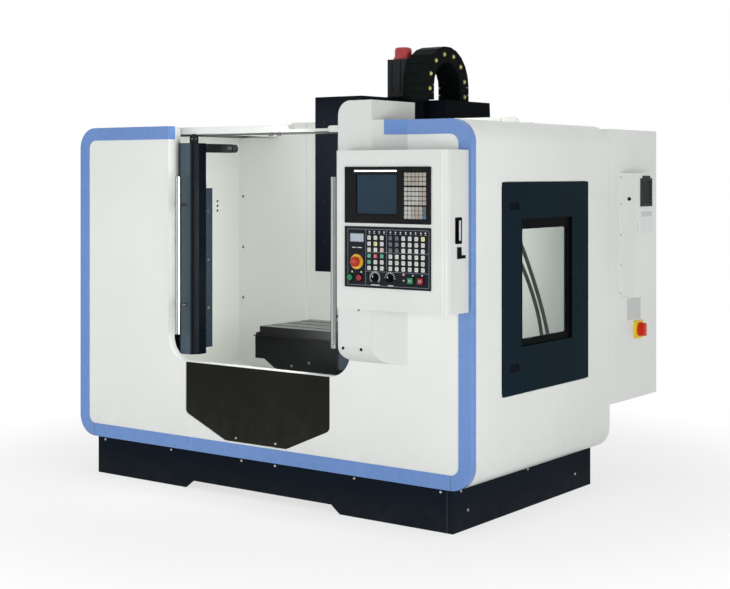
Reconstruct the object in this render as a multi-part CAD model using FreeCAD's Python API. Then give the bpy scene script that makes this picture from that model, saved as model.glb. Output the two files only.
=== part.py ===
import FreeCAD, Part
import math
import os

# Vertical machining centre with a sheet-metal enclosure.
# Model axes: X to the right seen from the front, Y to the back, Z up, millimetres.
# X = 0 is the machine's centre plane, Y = 0 the enclosure's front, Z = 0 the floor.
# On export everything moves so that the origin is under the middle of the whole machine.

# ---- enclosure -------------------------------------------------------------------------------
WIDTH = 2400.0          # enclosure, side to side
TOP = 1777.0            # enclosure's top edge
BASE = 191.0            # top of the plinth, underside of the enclosure
COVER_BACK = 1270.0     # back of the side covers
CORNER_R = 105.0        # rounded long edges of the side covers
SHEET = 4.0             # side covers and inner walls
SKIN = 3.0              # front panel, trim, housing and doors
BAND = 65.0             # width of the blue trim
BAND_DEPTH = 38.0       # how far the trim wraps round the side
BAND_INNER_R = 42.0
BAND_WRAP = 47.0        # trim folded back along the doorway
ROOF_EDGE = 830.0       # roof strip's inner edge, from the centre
ROOF_LIP = 26.0
BOTTOM_LIP = 42.0
LINER_GAP = 66.0        # between a side cover and its inner wall
CLEAR = 0.5             # gap round fixed castings that pass through a sheet
THROUGH = 50.0          # how far a cutting outline runs past the front sheets
BACK_WALL = 1165.0      # back of the inner back wall
BACK_WALL_TOP = 1800.0
BACK_RISE = 30.0        # raised middle part of the back wall
BACK_RISE_X = 750.0
LINER_BOTTOM = 300.0
SEAM_X = 622.0          # upright seam strip on the back wall
SEAM_WIDE = 26.0
SEAM_PROUD = 6.0
SEAM_BOTTOM = 500.0
PAN_GAP = 24.0
PAN_LOW = 330.0         # chip trays, beside the bed
PAN_RISE = 120.0

# ---- front opening ---------------------------------------------------------
DOORWAY_X = -6.0        # middle of the doorway
DOORWAY_HALF = 563.0
SILL_Z = 624.0
APRON_HALF = 447.0
APRON_SIDE_Z = 375.0    # where the apron's sides turn in
APRON_FOOT_HALF = 190.0
APRON_BOTTOM = 264.0
APRON_R = 30.0
APRON_GAP = 3.0
APRON_FRONT = 6.0
APRON_BACK = 24.0
APRON_SEAT = 30.0       # depth of the return that carries the apron
RETURN_DEPTH = 88.0     # the doorway's return flange
SILL_DEPTH = 46.0
SILL_FRONT = 8.0
SILL_FOLD = 30.0

# ---- raised housing beside the doorway --------------------------------------
HOUSING_FRONT = -85.0
HOUSING_FLAT = 184.0    # width of its flat front
HOUSING_SLOPE = 130.0   # width of its sloping cheek
HOUSING_BOTTOM = 708.0
HOUSING_CURL = 75.0
HOUSING_CORNER = 60.0
HOOD_TOP = 1864.0
HOOD_BACK = 247.0
HOOD_R = 66.0
HOUSING_BEND = 24.0
TAB_LONG = 64.0         # small rounded tab beside the hood
TAB_BOTTOM = 1727.0
TAB_TOP = 1756.0
TAB_R = 14.0
TAB_Y = -78.0
BAND_ON_SLOPE = 85.0    # how far the trim runs along the sloping cheek, in X

# ---- plinth, bed and feet ----------------------------------------------------
PLINTH_HALF = 1091.0
PLINTH_FRONT = 25.0
PLINTH_BACK = 1276.0
PLINTH_SHEET = 6.0
KICK_LEFT = -422.0      # raised middle of the front skirt
KICK_RIGHT = 432.0
KICK_HEIGHT = 38.0
KICK_SLOPE = 51.0       # run of its sloping ends
PLINTH_RIM = 60.0       # inward flange along the plinth's top
PASSAGE_HALF = 440.0    # opening at the back, round the bed and column
PASSAGE_DEEP = 70.0
FOOT_HEIGHT = 60.0
FOOT_R = 45.0
FOOT_TOP_R = 32.0
FOOT_STEM_R = 14.0
FOOT_PAD = 18.0
FOOT_NUT = 24.0
FOOT_INSET = 70.0
BED_HALF = 374.0
BED_FRONT = 230.0
BED_TOP = 430.0
BED_WALL = 45.0
BED_COLUMNS = 3         # hollow cells under the bed
BED_ROWS = 2
SEAT_HIGH = 20.0        # machined seat under the column
SEAT_LAP = 20.0

# ---- column and its slideways ------------------------------------------------
COLUMN_HALF = 290.0
COLUMN_FRONT = 1185.0
COLUMN_BACK = 1720.0
COLUMN_TOP = 1930.0
COLUMN_WALL = 40.0
COLUMN_TAPER = 92.0
COLUMN_WINDOW = 120.0
Z_WAY_X = 160.0         # middle of each upright way
WAY_WIDTH = 60.0
Z_WAY_PROUD = 60.0
Z_WAY_BOTTOM = 860.0

# ---- table, saddle and their ways --------------------------------------------
TABLE_LENGTH = 880.0
TABLE_DEPTH = 420.0
TABLE_TOP = 750.0
TABLE_THICK = 92.0
T_SLOTS = 3
T_PITCH = 125.0
T_NECK = 18.0
T_HEAD = 30.0
T_NECK_DEEP = 18.0
T_HEAD_DEEP = 14.0
TROUGH = 26.0
TROUGH_WALL = 5.0
TROUGH_DOWN = 34.0      # gutters at the table's ends, lower than the T-slots
SKIRT_THICK = 28.0
SKIRT_HIGH = 22.0
SADDLE_HALF = 330.0
SADDLE_REACH = 4.0      # saddle's front, ahead of the table's
SADDLE_CHEEK = 40.0
SADDLE_DROP = 30.0
Y_WAY_X = 255.0
Y_WAY_HIGH = 40.0
X_WAY_Y = 129.0         # ways under the table, from its middle
X_WAY_HIGH = 30.0
SLIDE_GAP = 0.3
GUARD_OVER = 24.0       # how far the guard reaches past the table's ends
GUARD_TOP = 705.0
GUARD_SIDE_Z = 584.0
GUARD_BOTTOM = 541.0
GUARD_STEP = 61.0
GUARD_SLOPE = 69.0
GUARD_FOLD = 20.0

# ---- spindle head ----------------------------------------------------------------------------
SPINDLE_Y = 760.0
HEAD_FRONT = 640.0
HEAD_HALF = 149.0
HEAD_BOTTOM = 1042.0
HEAD_TOP = 1933.0
HEAD_COVER_BACK = 865.0
HEAD_CAST_HALF = 138.0
HEAD_CAST_BACK = 1075.0
HEAD_CAST_DOWN = 60.0
SLIDE_HALF = 225.0
SLIDE_BOTTOM = 985.0
SLIDE_TOP = 1515.0
SLIDE_BACK = 20.0
NOSE_Z = 950.0
NOSE_R = 64.0
NOSE_HIGH = 30.0
SPINDLE_R = 45.0
SPINDLE_CLEAR = 0.05
SPINDLE_TOP = 1335.0
KEY_HALF = 8.0
QUILL_R = 82.0
QUILL_BOTTOM = 984.0
TAPER_R = 22.2
TAPER_DEEP = 65.0
TAPER_RATIO = 7 / 48

# ---- feed motor on the column and drag chain -----------------------------------
MOTOR_X = 10.0
MOTOR_Y = 1200.0
MOTOR_SIZE = 130.0
MOTOR_SEAT = 22.0       # height of the motor's bracket
MOTOR_HIGH = 201.0
MOTOR_LEDGE = 10.0
MOTOR_BEND = 14.0
MOTOR_GROOVE = 4.0
MOTOR_GROOVE_AT = 0.42  # grooves from the middle, as a share of half the width
CAP_BASE = 14.0
CAP_EDGE = 8.0
CAP_R = 46.0
CAP_HIGH = 67.0
CHAIN_RIGHT = 230.0
CHAIN_WIDTH = 142.0
CHAIN_Y = 1296.0
CHAIN_RISE = 80.0       # the arch's centre, above the column's top
CHAIN_R = 169.0         # to the middle of the links
CHAIN_THICK = 84.0
CHAIN_LINKS = 11        # links round the half turn
CHAIN_WALL = 12.0
CHAIN_PIN_R = 11.0
CHAIN_ARM = 78.0        # the head's bracket, below the arch's centre
LINK_GAP = 0.8

# ---- electrical cabinet --------------------------------------------------------
CABINET_LEFT = 380.0
CABINET_BACK = 1801.0
CABINET_BOTTOM = 404.0
CABINET_TOP = 1762.0
CABINET_DOOR = 22.0
CABINET_BEAM = 60.0
CABINET_RIM = 28.0
CABINET_PLATE = 42.0    # mounting plate, behind the cabinet's front
COOLER_DEPTH = 82.0
COOLER_FRONT = 1392.0
COOLER_BACK = 1618.0
COOLER_BOTTOM = 930.0
COOLER_TOP = 1545.0
COOLER_FLANGE = 16.0
LOUVRES = 8
GRILLE_EDGE = 12.0
GRILLE_DEEP = 9.0
GRILLE_FRONT = 1441.0
GRILLE_BACK = 1569.0
GRILLE_BOTTOM = 1378.0
GRILLE_TOP = 1519.0
GRILLE_PROUD = 5.0
ISOLATOR_Y = 1580.0
ISOLATOR_Z = 751.0
ISOLATOR_SIZE = 90.0
ISOLATOR_THICK = 12.0
KNOB_R = 36.0
KNOB_HIGH = 34.0
GRIP_HALF = 11.0

# ---- sliding doors ---------------------------------------------------------------------------
DOOR_TOP = 1693.0
DOOR_BOTTOM = 650.0
DOOR_LEAD = 432.0       # leading edge from the doorway's middle, door open
DOOR_LENGTH = 612.0
DOOR_FACE = 100.0       # front of the flat part
DOOR_THICK = 34.0
NOSE_WIDE = 128.0       # rounded leading edge
NOSE_FRONT = 48.0
NOSE_RISE = 34.0
NOSE_EASE = 25.5        # how far its sides lean in towards the front
NOSE_BOW = 46.0
DOOR_WINDOW = 330.0
WINDOW_INSET = 70.0     # from the rounded edge to the window
WINDOW_FRAME = 30.0
WINDOW_R = 20.0
WINDOW_BOTTOM = 950.0
WINDOW_TOP = 1500.0
GUARD_DEPTH = 46.0      # splash strip behind the leading edge
GUARD_STRIP_TOP = 1470.0
HANGER_HIGH = 46.0
ARM_LENGTH = 212.0
ARM_HIGH = 44.0
ARM_X = 25.0
ARM_DOWN = 2.0
HANGER_X = 66.0
EAR_HALF = 26.0
EAR_R = 8.0
EAR_HOLE = 5.5
EAR_THICK = 8.0
WHEEL_R = 12.0
WHEEL_HALF = 14.0
ROLLER_R = 21.0
HANDLE_R = 14.0
HANDLE_Y = -12.0
HANDLE_X = 482.0        # from the doorway's middle
HANDLE_BOTTOM = 756.0
HANDLE_TOP = 1527.0
HANDLE_FOOT = 140.0
RAIL_Y = 117.0
RAIL_HIGH = 33.0
RAIL_WIDE = 44.0
RAIL_END = 24.0         # from the channel's end to the inner wall
RAIL_FOOT = 10.0
RAIL_SLOT = 7.0
RAIL_STOPS = (-22.0, 26.0)
STOP_HALF = 6.0
ROD_R = 6.0

# ---- side doors ------------------------------------------------------------------------------
SIDE_DOOR_FRONT = 248.0
SIDE_DOOR_BACK = 1041.0
LEFT_DOOR_BACK = 900.0
SIDE_DOOR_BOTTOM = 567.0
SIDE_DOOR_TOP = 1504.0
SIDE_DOOR_THICK = 30.0
SIDE_DOOR_PROUD = 3.0
SIDE_DOOR_R = 26.0
SIDE_DOOR_GAP = 3.0
STOP_LAP = 12.0         # how far the stop behind a side door covers its edge
PANE_INSET_FRONT = 160.0
PANE_INSET_BACK = 161.0
PANE_BOTTOM = 772.0
PANE_TOP = 1341.0
PANE_STEP = 31.0
PANE_STEP_DEEP = 12.0
PANE_STEP_TOP = 46.5
PANE_REBATE = 12.0
GLASS = 6.0
LATCH_Y = 101.0         # latches, from the door's free edge
LATCH_UP = 106.0        # upper latch, below the door's top
LATCH_DOWN = 118.0      # lower latch, above the door's bottom
LATCH_LONG = 76.0
LATCH_HIGH = 28.0
LATCH_THICK = 7.0
LATCH_SUNK = 2.0
LATCH_CLEAR = 2.0

# ---- operator box -------------------------------------------------------------------
BOX_LEFT = 613.0
BOX_RIGHT = 1187.0
BOX_FRONT = -170.0
BOX_BOTTOM = 956.0
BOX_TOP = 1642.0
BOX_R = 16.0
BOX_GAP = 0.5
UNIT_LEFT = 663.0
UNIT_RIGHT = 1110.0
SCREEN_UNIT_BOTTOM = 1329.0
SCREEN_UNIT_TOP = 1571.0
PANEL_BOTTOM = 1053.0
PANEL_TOP = 1315.0
UNIT_PROUD = 6.0
UNIT_LAP = 9.0
UNIT_DEEP = 70.0
PANEL_DEEP = 45.0
SCREEN_LEFT = 726.0
SCREEN_RIGHT = 939.0
SCREEN_BOTTOM = 1369.0
SCREEN_TOP = 1538.0
SCREEN_DEEP = 5.0
KEYPAD_LEFT = 977.0
KEYPAD_RIGHT = 1088.0
KEYPAD_BOTTOM = 1354.0
KEYPAD_TOP = 1547.0
KEYPAD_COLUMNS = 6
KEYPAD_ROWS = 9
KEYPAD_DEEP = 2.0
KEYPAD_GAP = 1.5
KEY_HIGH = 3.0
KEY_SIZE = 19.0
KEY_COLS_LEFT = (797.0, 830.5, 864.0)
KEY_COLS_RIGHT = (909.0, 942.0, 975.5, 1008.5, 1042.0, 1075.0)
KEY_ROWS = (1268.0, 1242.0, 1216.5, 1190.0, 1164.0, 1138.5)
ESTOP_X = 729.0
ESTOP_Z = 1163.0
ESTOP_R = 22.0
ESTOP_TOP_R = 15.4
ESTOP_RING_R = 32.0
ESTOP_RING = 5.0
ESTOP_HIGH = 22.0
ESTOP_DOME = 9.0
ESTOP_BRIM = 7.0
STEM_R = 11.0
SHAFT_R = 6.0
ESTOP_TRAVEL = 5.0
DIAL_R = 19.0
DIAL_GRIP_R = 13.7
DIAL_HIGH = 17.0
DIAL_SKIRT = 6.0
DIAL_Z = 1097.0
DIALS_X = (826.0, 904.0)
ROUND_BUTTON_R = 14.0
ROUND_BUTTONS_X = (694.0, 744.0)
ROUND_BUTTONS_Z = 1094.0
SQUARE_BUTTON = 26.0
SQUARE_BUTTONS_X = (1012.0, 1063.0)
SQUARE_BUTTONS_Z = 1092.0
BUTTON_HIGH = 9.0
BUTTON_CLEAR = 0.4
BUTTON_EDGE = 2.0       # corners of the square buttons, rims of the round ones
BUTTON_DEEP = 16.0      # how far a button's body reaches in behind its face
LOCK_Y = -80.5
LOCK_BOTTOM = 1248.0
LOCK_TOP = 1359.0
LOCK_WIDE = 51.0
LOCK_DEEP = 16.0
LOCK_RIM = 2.0
LOCK_LIP = 1.2          # rim that rests on the box, round the cup
LOCK_FIT = 0.1
LEVER_Y = -71.0
LEVER_WIDE = 24.0
LEVER_GAP = 1.0
LEVER_SWING = 2.0       # room above and below it as it swings out
LEVER_THICK = 5.0
LEVER_PIN_R = 2.0
LEVER_PIN_DOWN = 4.0
HOOK_Y = -91.0
HOOK_BOTTOM = 1186.0
HOOK_HIGH = 48.0
HOOK_BAR = 27.0
HOOK_FOOT = 58.0

# ---- hoses inside the right-hand door --------------------------------------------------
HOSE_R = 9.0
HOSE_WALL = 45.0        # outer hose, from the inner wall
HOSE_STEP = 42.0        # second hose, nearer the table
MANIFOLD_Z = 1500.0
MANIFOLD_HIGH = 40.0
PAN_BLOCK_TOP = 476.0
BEND_SHARE = 0.45       # part of each straight run that its bend takes
HIGH_HOSE = ((446, 1500), (446, 1425), (600, 1268), (770, 1016), (868, 790), (906, 600), (906, 476))
LOW_HOSE = ((402, 1500), (402, 1416), (580, 1245), (740, 1052), (852, 850), (888, 660), (888, 476))

HALF = WIDTH / 2
LINER = HALF - LINER_GAP
RAIL_HALF = LINER - SHEET - RAIL_END
HOSE_X = LINER - SHEET - HOSE_WALL
CHAIN_Z = COLUMN_TOP + CHAIN_RISE
DOORWAY_LEFT = DOORWAY_X - DOORWAY_HALF
DOORWAY_RIGHT = DOORWAY_X + DOORWAY_HALF
PANEL_FRONT = SKIN
PANEL_BACK = 2 * SKIN
HOUSING_TURN = DOORWAY_RIGHT + HOUSING_FLAT
HOUSING_END = HOUSING_TURN + HOUSING_SLOPE
TABLE_Y = SPINDLE_Y
TABLE_FRONT = TABLE_Y - TABLE_DEPTH / 2
GUARD_HALF = TABLE_LENGTH / 2 + GUARD_OVER
SADDLE_FRONT = TABLE_FRONT - SADDLE_REACH
SADDLE_TOP = TABLE_TOP - TABLE_THICK - SLIDE_GAP
SADDLE_BOTTOM = BED_TOP + Y_WAY_HIGH + SLIDE_GAP
CABINET_FRONT = COVER_BACK + 1.0
X_SHIFT = -(COOLER_DEPTH + GRILLE_PROUD - SIDE_DOOR_PROUD) / 2
Y_SHIFT = -(BOX_FRONT - UNIT_PROUD - ESTOP_RING - ESTOP_HIGH + CABINET_BACK) / 2

nodes = {}


def place(plane, level, a, b):
    """A point of a flat outline: xz faces front, yz faces sideways, xy lies level."""
    if plane == "xz":
        return FreeCAD.Vector(a, level, b)
    if plane == "yz":
        return FreeCAD.Vector(level, a, b)
    return FreeCAD.Vector(a, b, level)


def outline(points, plane, level):
    """A closed face from corners (a, b) or (a, b, radius)."""
    count = len(points)
    edges = []
    starts = []
    ends = []
    mids = []
    for i, point in enumerate(points):
        here = place(plane, level, point[0], point[1])
        radius = point[2] if len(point) > 2 else 0.0
        if radius <= 0:
            starts.append(here)
            ends.append(here)
            mids.append(None)
            continue
        before = place(plane, level, *points[i - 1][:2])
        after = place(plane, level, *points[(i + 1) % count][:2])
        to_before = (before - here).normalize()
        to_after = (after - here).normalize()
        half_angle = to_before.getAngle(to_after) / 2
        reach = radius / math.tan(half_angle)
        bisector = (to_before + to_after).normalize()
        centre = here + bisector * (radius / math.sin(half_angle))
        starts.append(here + to_before * reach)
        ends.append(here + to_after * reach)
        mids.append(centre - bisector * radius)
    for i in range(count):
        if mids[i] is not None:
            edges.append(Part.Arc(starts[i], mids[i], ends[i]).toShape())
        nxt = starts[(i + 1) % count]
        if ends[i].distanceToPoint(nxt) > 1e-6:
            edges.append(Part.LineSegment(ends[i], nxt).toShape())
    return Part.Face(Part.Wire(edges))


def prism(points, plane, start, end):
    """An outline swept straight from one level to another."""
    sweep = {"xz": (0, 1, 0), "yz": (1, 0, 0), "xy": (0, 0, 1)}[plane]
    return outline(points, plane, start).extrude(FreeCAD.Vector(*sweep) * (end - start))


def box(x0, x1, y0, y1, z0, z1):
    return Part.makeBox(x1 - x0, y1 - y0, z1 - z0, FreeCAD.Vector(x0, y0, z0))


def rectangle(a0, a1, b0, b1, radius=0.0):
    return [(a0, b0, radius), (a1, b0, radius), (a1, b1, radius), (a0, b1, radius)]


def rod(radius, start, end):
    """A round bar from one point to another."""
    first = FreeCAD.Vector(*start)
    along = FreeCAD.Vector(*end) - first
    return Part.makeCylinder(radius, along.Length, first, along)


def mirror(shape, x=0.0):
    return shape.mirror(FreeCAD.Vector(x, 0, 0), FreeCAD.Vector(1, 0, 0))


def joined(shapes):
    shape = shapes[0].multiFuse(shapes[1:]) if len(shapes) > 1 else shapes[0]
    return shape.removeSplitter()


# ---- enclosure -------------------------------------------------------------------------------

def shell_outline(inset, radius):
    """The enclosure seen from the front, moved in by an inset."""
    return rectangle(-HALF + inset, HALF - inset, BASE + inset, TOP - inset, radius)


def trim_ring():
    """The blue edge frame as one L-section ring, before it is cut into its three lengths."""
    outer = prism(shell_outline(0, CORNER_R), "xz", 0, BAND_DEPTH)
    hole = prism(shell_outline(BAND, BAND_INNER_R), "xz", -1, BAND_DEPTH + 1)
    pocket = prism(shell_outline(SHEET, CORNER_R - SHEET), "xz", SKIN, BAND_DEPTH + 1)
    return outer.cut(hole).cut(pocket)


def trim():
    """Left, bottom and right lengths of the blue edge frame."""
    ring = trim_ring()
    seam = HALF - CORNER_R
    low = BASE + BAND + BAND_INNER_R
    left = box(-HALF, DOORWAY_LEFT, 0, BAND_DEPTH, low, TOP)
    left = left.fuse(box(-HALF, -seam, 0, BAND_DEPTH, BASE, low))
    bottom = box(-seam, seam, 0, BAND_DEPTH, BASE, low)
    right = box(HOUSING_END, HALF, 0, BAND_DEPTH, low, TOP)
    right = right.fuse(box(seam, HALF, 0, BAND_DEPTH, BASE, low))
    wrap = box(DOORWAY_LEFT, DOORWAY_LEFT + SKIN, 0, BAND_WRAP, TOP - BAND, TOP)
    run = HOUSING_SLOPE
    rise = HOUSING_FRONT - PANEL_FRONT
    length = math.hypot(run, rise)
    out_x = -rise / length * SKIN
    out_y = -run / length * SKIN
    start_x = HOUSING_END - BAND_ON_SLOPE
    start_y = PANEL_FRONT + BAND_ON_SLOPE * rise / run
    fold_x = HOUSING_END + out_x + (PANEL_FRONT + out_y) * run / rise
    cheek = [(HOUSING_END + SKIN, PANEL_FRONT), (HOUSING_END, PANEL_FRONT), (start_x, start_y),
             (start_x + out_x, start_y + out_y), (fold_x, 0), (HOUSING_END + SKIN, 0)]
    strip = prism(cheek, "xy", TOP - BAND, TOP)
    lengths = [joined([ring.common(left), wrap]), ring.common(bottom), joined([ring.common(right), strip])]
    nodes["edge_trim"] = lengths


def doorway(grow=0.0):
    """The doorway and the apron's cut-out below it, as one outline."""
    half = DOORWAY_HALF + grow
    step = APRON_HALF + grow
    sill_r = half - step
    top = TOP + THROUGH
    right = [(half, top), (half, SILL_Z - grow, sill_r - 0.01), (step, SILL_Z - grow)]
    right += [(step, APRON_SIDE_Z, APRON_R + grow)]
    right += [(APRON_FOOT_HALF, APRON_BOTTOM - grow, APRON_R + grow)]
    left = [(-point[0],) + tuple(point[1:]) for point in reversed(right)]
    return [(point[0] + DOORWAY_X,) + tuple(point[1:]) for point in right + left]


def front_panel():
    edge = SHEET + 0.5
    plate = prism(shell_outline(edge, CORNER_R - edge), "xz", PANEL_FRONT, PANEL_BACK)
    plate = plate.cut(prism(doorway(), "xz", 0, THROUGH))
    plate = plate.cut(box(DOORWAY_RIGHT, DOORWAY_RIGHT + SKIN, 0, THROUGH,
                          HOUSING_BOTTOM + HOUSING_CORNER, TOP))
    lip = prism(doorway(SKIN), "xz", PANEL_FRONT, RETURN_DEPTH)
    lip = lip.cut(prism(doorway(), "xz", 0, RETURN_DEPTH + 1))
    bend_z = SILL_Z + DOORWAY_HALF - APRON_HALF + SKIN
    keep = box(-HALF, DOORWAY_X, 0, RETURN_DEPTH, bend_z, TOP - edge)
    keep = keep.fuse(box(-HALF, HALF, 0, SILL_DEPTH, SILL_Z - SKIN, HOUSING_BOTTOM + HOUSING_CORNER - 1))
    lip = lip.common(keep)
    sill = box(DOORWAY_X - APRON_HALF, DOORWAY_X + APRON_HALF, SILL_FRONT, SILL_DEPTH, SILL_Z - SKIN,
               SILL_Z)
    frame = prism(doorway(SKIN), "xz", PANEL_FRONT, APRON_SEAT)
    frame = frame.cut(prism(doorway(), "xz", 0, THROUGH))
    frame = frame.common(box(-HALF, HALF, 0, THROUGH, BASE, SILL_Z - SKIN))
    back_edge = box(DOORWAY_X - APRON_HALF, DOORWAY_X + APRON_HALF, SILL_DEPTH - SKIN, SILL_DEPTH,
                    SILL_Z - SILL_FOLD, SILL_Z)
    nodes["front_panel"] = [joined([plate, lip, frame, sill, back_edge])]


def apron():
    """Dark plate that closes the doorway's lower part, folded back round its edge."""
    gap = -APRON_GAP
    lower = box(-HALF, HALF, 0, THROUGH, 0, SILL_Z - SKIN - 1)
    plate = prism(doorway(gap), "xz", APRON_FRONT, APRON_BACK).common(lower)
    pocket = prism(doorway(gap - SKIN), "xz", APRON_FRONT + SKIN, APRON_BACK + 1)
    pocket = pocket.common(box(-HALF, HALF, 0, THROUGH, 0, SILL_Z - 2 * SKIN - 1))
    tray = plate.cut(pocket)
    seat = prism(doorway(0), "xz", APRON_BACK, APRON_BACK + SKIN)
    seat = seat.common(lower)
    nodes["apron"] = [joined([tray, seat])]


def side_cover(side, door_back):
    """C-section cover with rounded long edges, a roof strip and a closed back."""
    front = BAND_DEPTH
    outer = prism(shell_outline(0, CORNER_R), "xz", front, COVER_BACK)
    inner = prism(shell_outline(SHEET, CORNER_R - SHEET), "xz", front - 1, COVER_BACK - SHEET)
    skin = outer.cut(inner)
    roof = box(ROOF_EDGE, HALF, 0, COVER_BACK, BASE + CORNER_R, TOP)
    foot = box(HALF - CORNER_R - BOTTOM_LIP, HALF, 0, COVER_BACK, BASE, BASE + CORNER_R)
    section = skin.common(roof.fuse(foot))
    rear = box(COLUMN_HALF + CLEAR, HALF, COVER_BACK - SHEET, COVER_BACK, BASE, TOP)
    lip = box(ROOF_EDGE, ROOF_EDGE + SHEET, front, COVER_BACK, TOP - ROOF_LIP, TOP)
    notch = box(ROOF_EDGE - 1, ROOF_EDGE + SHEET + 1, RAIL_Y - RAIL_WIDE, RAIL_Y + RAIL_WIDE,
                TOP - ROOF_LIP - 1, DOOR_TOP + HANGER_HIGH + RAIL_HIGH + 1)
    bed_notch = box(0, BED_HALF + CLEAR, COVER_BACK - 2 * SHEET, COVER_BACK + 1, BASE - 1,
                    BED_TOP + SEAT_HIGH + CLEAR)
    cover = joined([section, skin.common(rear), lip]).cut([notch, bed_notch])
    hole = door_hole(door_back, -SIDE_DOOR_GAP)
    cover = cover.cut(prism(hole, "yz", HALF - CORNER_R, HALF + 1))
    stop = HALF + SIDE_DOOR_PROUD - SIDE_DOOR_THICK - SLIDE_GAP
    rebate = prism(door_hole(door_back, -2 * STOP_LAP), "yz", stop - SHEET, HALF - SHEET)
    rebate = rebate.cut(prism(door_hole(door_back, STOP_LAP), "yz", stop - SHEET - 1, HALF))
    rebate = rebate.cut(prism(hole, "yz", stop, HALF))
    cover = joined([cover, rebate])
    nodes["side_cover_" + side] = [mirror(cover) if side == "left" else cover]


def door_hole(door_back, inset):
    """A side door's outline moved in by an inset."""
    return rectangle(SIDE_DOOR_FRONT + inset, door_back - inset, SIDE_DOOR_BOTTOM + inset,
                     SIDE_DOOR_TOP - inset, max(SIDE_DOOR_R - inset, STOP_LAP))


def liner(side, door_back):
    """Inner wall, folded into the back wall beside the column."""
    top = TOP - ROOF_LIP - 1
    wall = box(LINER - SHEET, LINER, PANEL_BACK, BACK_WALL, LINER_BOTTOM, top)
    low = COLUMN_HALF + CLEAR
    high = BACK_WALL_TOP + BACK_RISE
    step_x = BED_HALF + CLEAR
    step_z = BED_TOP + SEAT_HIGH + CLEAR
    back = [(low, step_z), (step_x, step_z), (step_x, LINER_BOTTOM), (LINER, LINER_BOTTOM), (LINER, top),
            (ROOF_EDGE - 1, top), (ROOF_EDGE - 1, BACK_WALL_TOP), (BACK_RISE_X, BACK_WALL_TOP),
            (BACK_RISE_X, high, BACK_RISE - 1), (low, high)]
    rear = prism(back, "xz", BACK_WALL - SHEET, BACK_WALL)
    deep = HALF + SIDE_DOOR_PROUD - SIDE_DOOR_THICK - SLIDE_GAP - SHEET
    throat = prism(door_hole(door_back, STOP_LAP), "yz", LINER - 1, deep)
    sight = door_hole(door_back, STOP_LAP + SKIN)
    seam = box(SEAM_X, SEAM_X + SEAM_WIDE, BACK_WALL - SHEET - SEAM_PROUD, BACK_WALL - SHEET, SEAM_BOTTOM,
               high - 2 * SEAM_PROUD)
    sheet = joined([wall, rear, throat, seam]).cut(prism(sight, "yz", LINER - CORNER_R, HALF))
    nodes["liner_" + side] = [mirror(sheet) if side == "left" else sheet]


def housing_solid(inset, top):
    """Raised housing: plan, side and front outlines crossed; an inset gives its inside."""
    left = DOORWAY_RIGHT + inset
    front = HOUSING_FRONT + inset
    low = HOUSING_BOTTOM + inset
    end = HOUSING_END - 2 * inset
    plan = [(left, front), (HOUSING_TURN - inset / 2, front, HOUSING_BEND - inset), (end, PANEL_FRONT),
            (left, PANEL_FRONT)]
    body = prism(plan, "xy", HOUSING_BOTTOM, top)
    side = [(front, low, HOUSING_CURL - inset), (PANEL_FRONT, low), (PANEL_FRONT, top), (front, top)]
    body = body.common(prism(side, "yz", DOORWAY_RIGHT - 1, HOUSING_END + 1))
    face = [(left, low, HOUSING_CORNER - inset), (HOUSING_END, low), (HOUSING_END, top), (left, top)]
    return body.common(prism(face, "xz", HOUSING_FRONT - 1, PANEL_FRONT + 1))


def hood_solid(inset, low):
    """The hood above the housing, with one rounded top edge."""
    left = DOORWAY_RIGHT + inset
    right = HOUSING_TURN - inset
    face = [(left, low), (right, low), (right, HOOD_TOP - inset), (left, HOOD_TOP - inset, HOOD_R - inset)]
    return prism(face, "xz", HOUSING_FRONT + inset, HOOD_BACK - inset)


def housing():
    """One folded sheet: the housing, its doorway cheek and the hood that crowns it."""
    outer = housing_solid(0, TOP).fuse(hood_solid(0, TOP))
    well = box(DOORWAY_RIGHT + SKIN, HOUSING_TURN - SKIN, HOUSING_FRONT + SKIN, PANEL_FRONT - SKIN,
               TOP - 2 * SKIN, TOP + 2 * SKIN)
    inner = housing_solid(SKIN, TOP - SKIN).fuse([hood_solid(SKIN, TOP + SKIN), well])
    shell = outer.cut(inner)
    cheek = box(DOORWAY_RIGHT, DOORWAY_RIGHT + SKIN, PANEL_FRONT - SKIN, RETURN_DEPTH,
                HOUSING_BOTTOM + HOUSING_CORNER, TOP)
    tab_x = DOORWAY_RIGHT - TAB_LONG
    tab = prism([(tab_x, TAB_BOTTOM, TAB_R), (DOORWAY_RIGHT, TAB_BOTTOM), (DOORWAY_RIGHT, TAB_TOP),
                 (tab_x, TAB_TOP, TAB_R)], "xz", TAB_Y, TAB_Y + 2 * SKIN)
    nodes["housing"] = [joined([shell, cheek, tab])]


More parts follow.
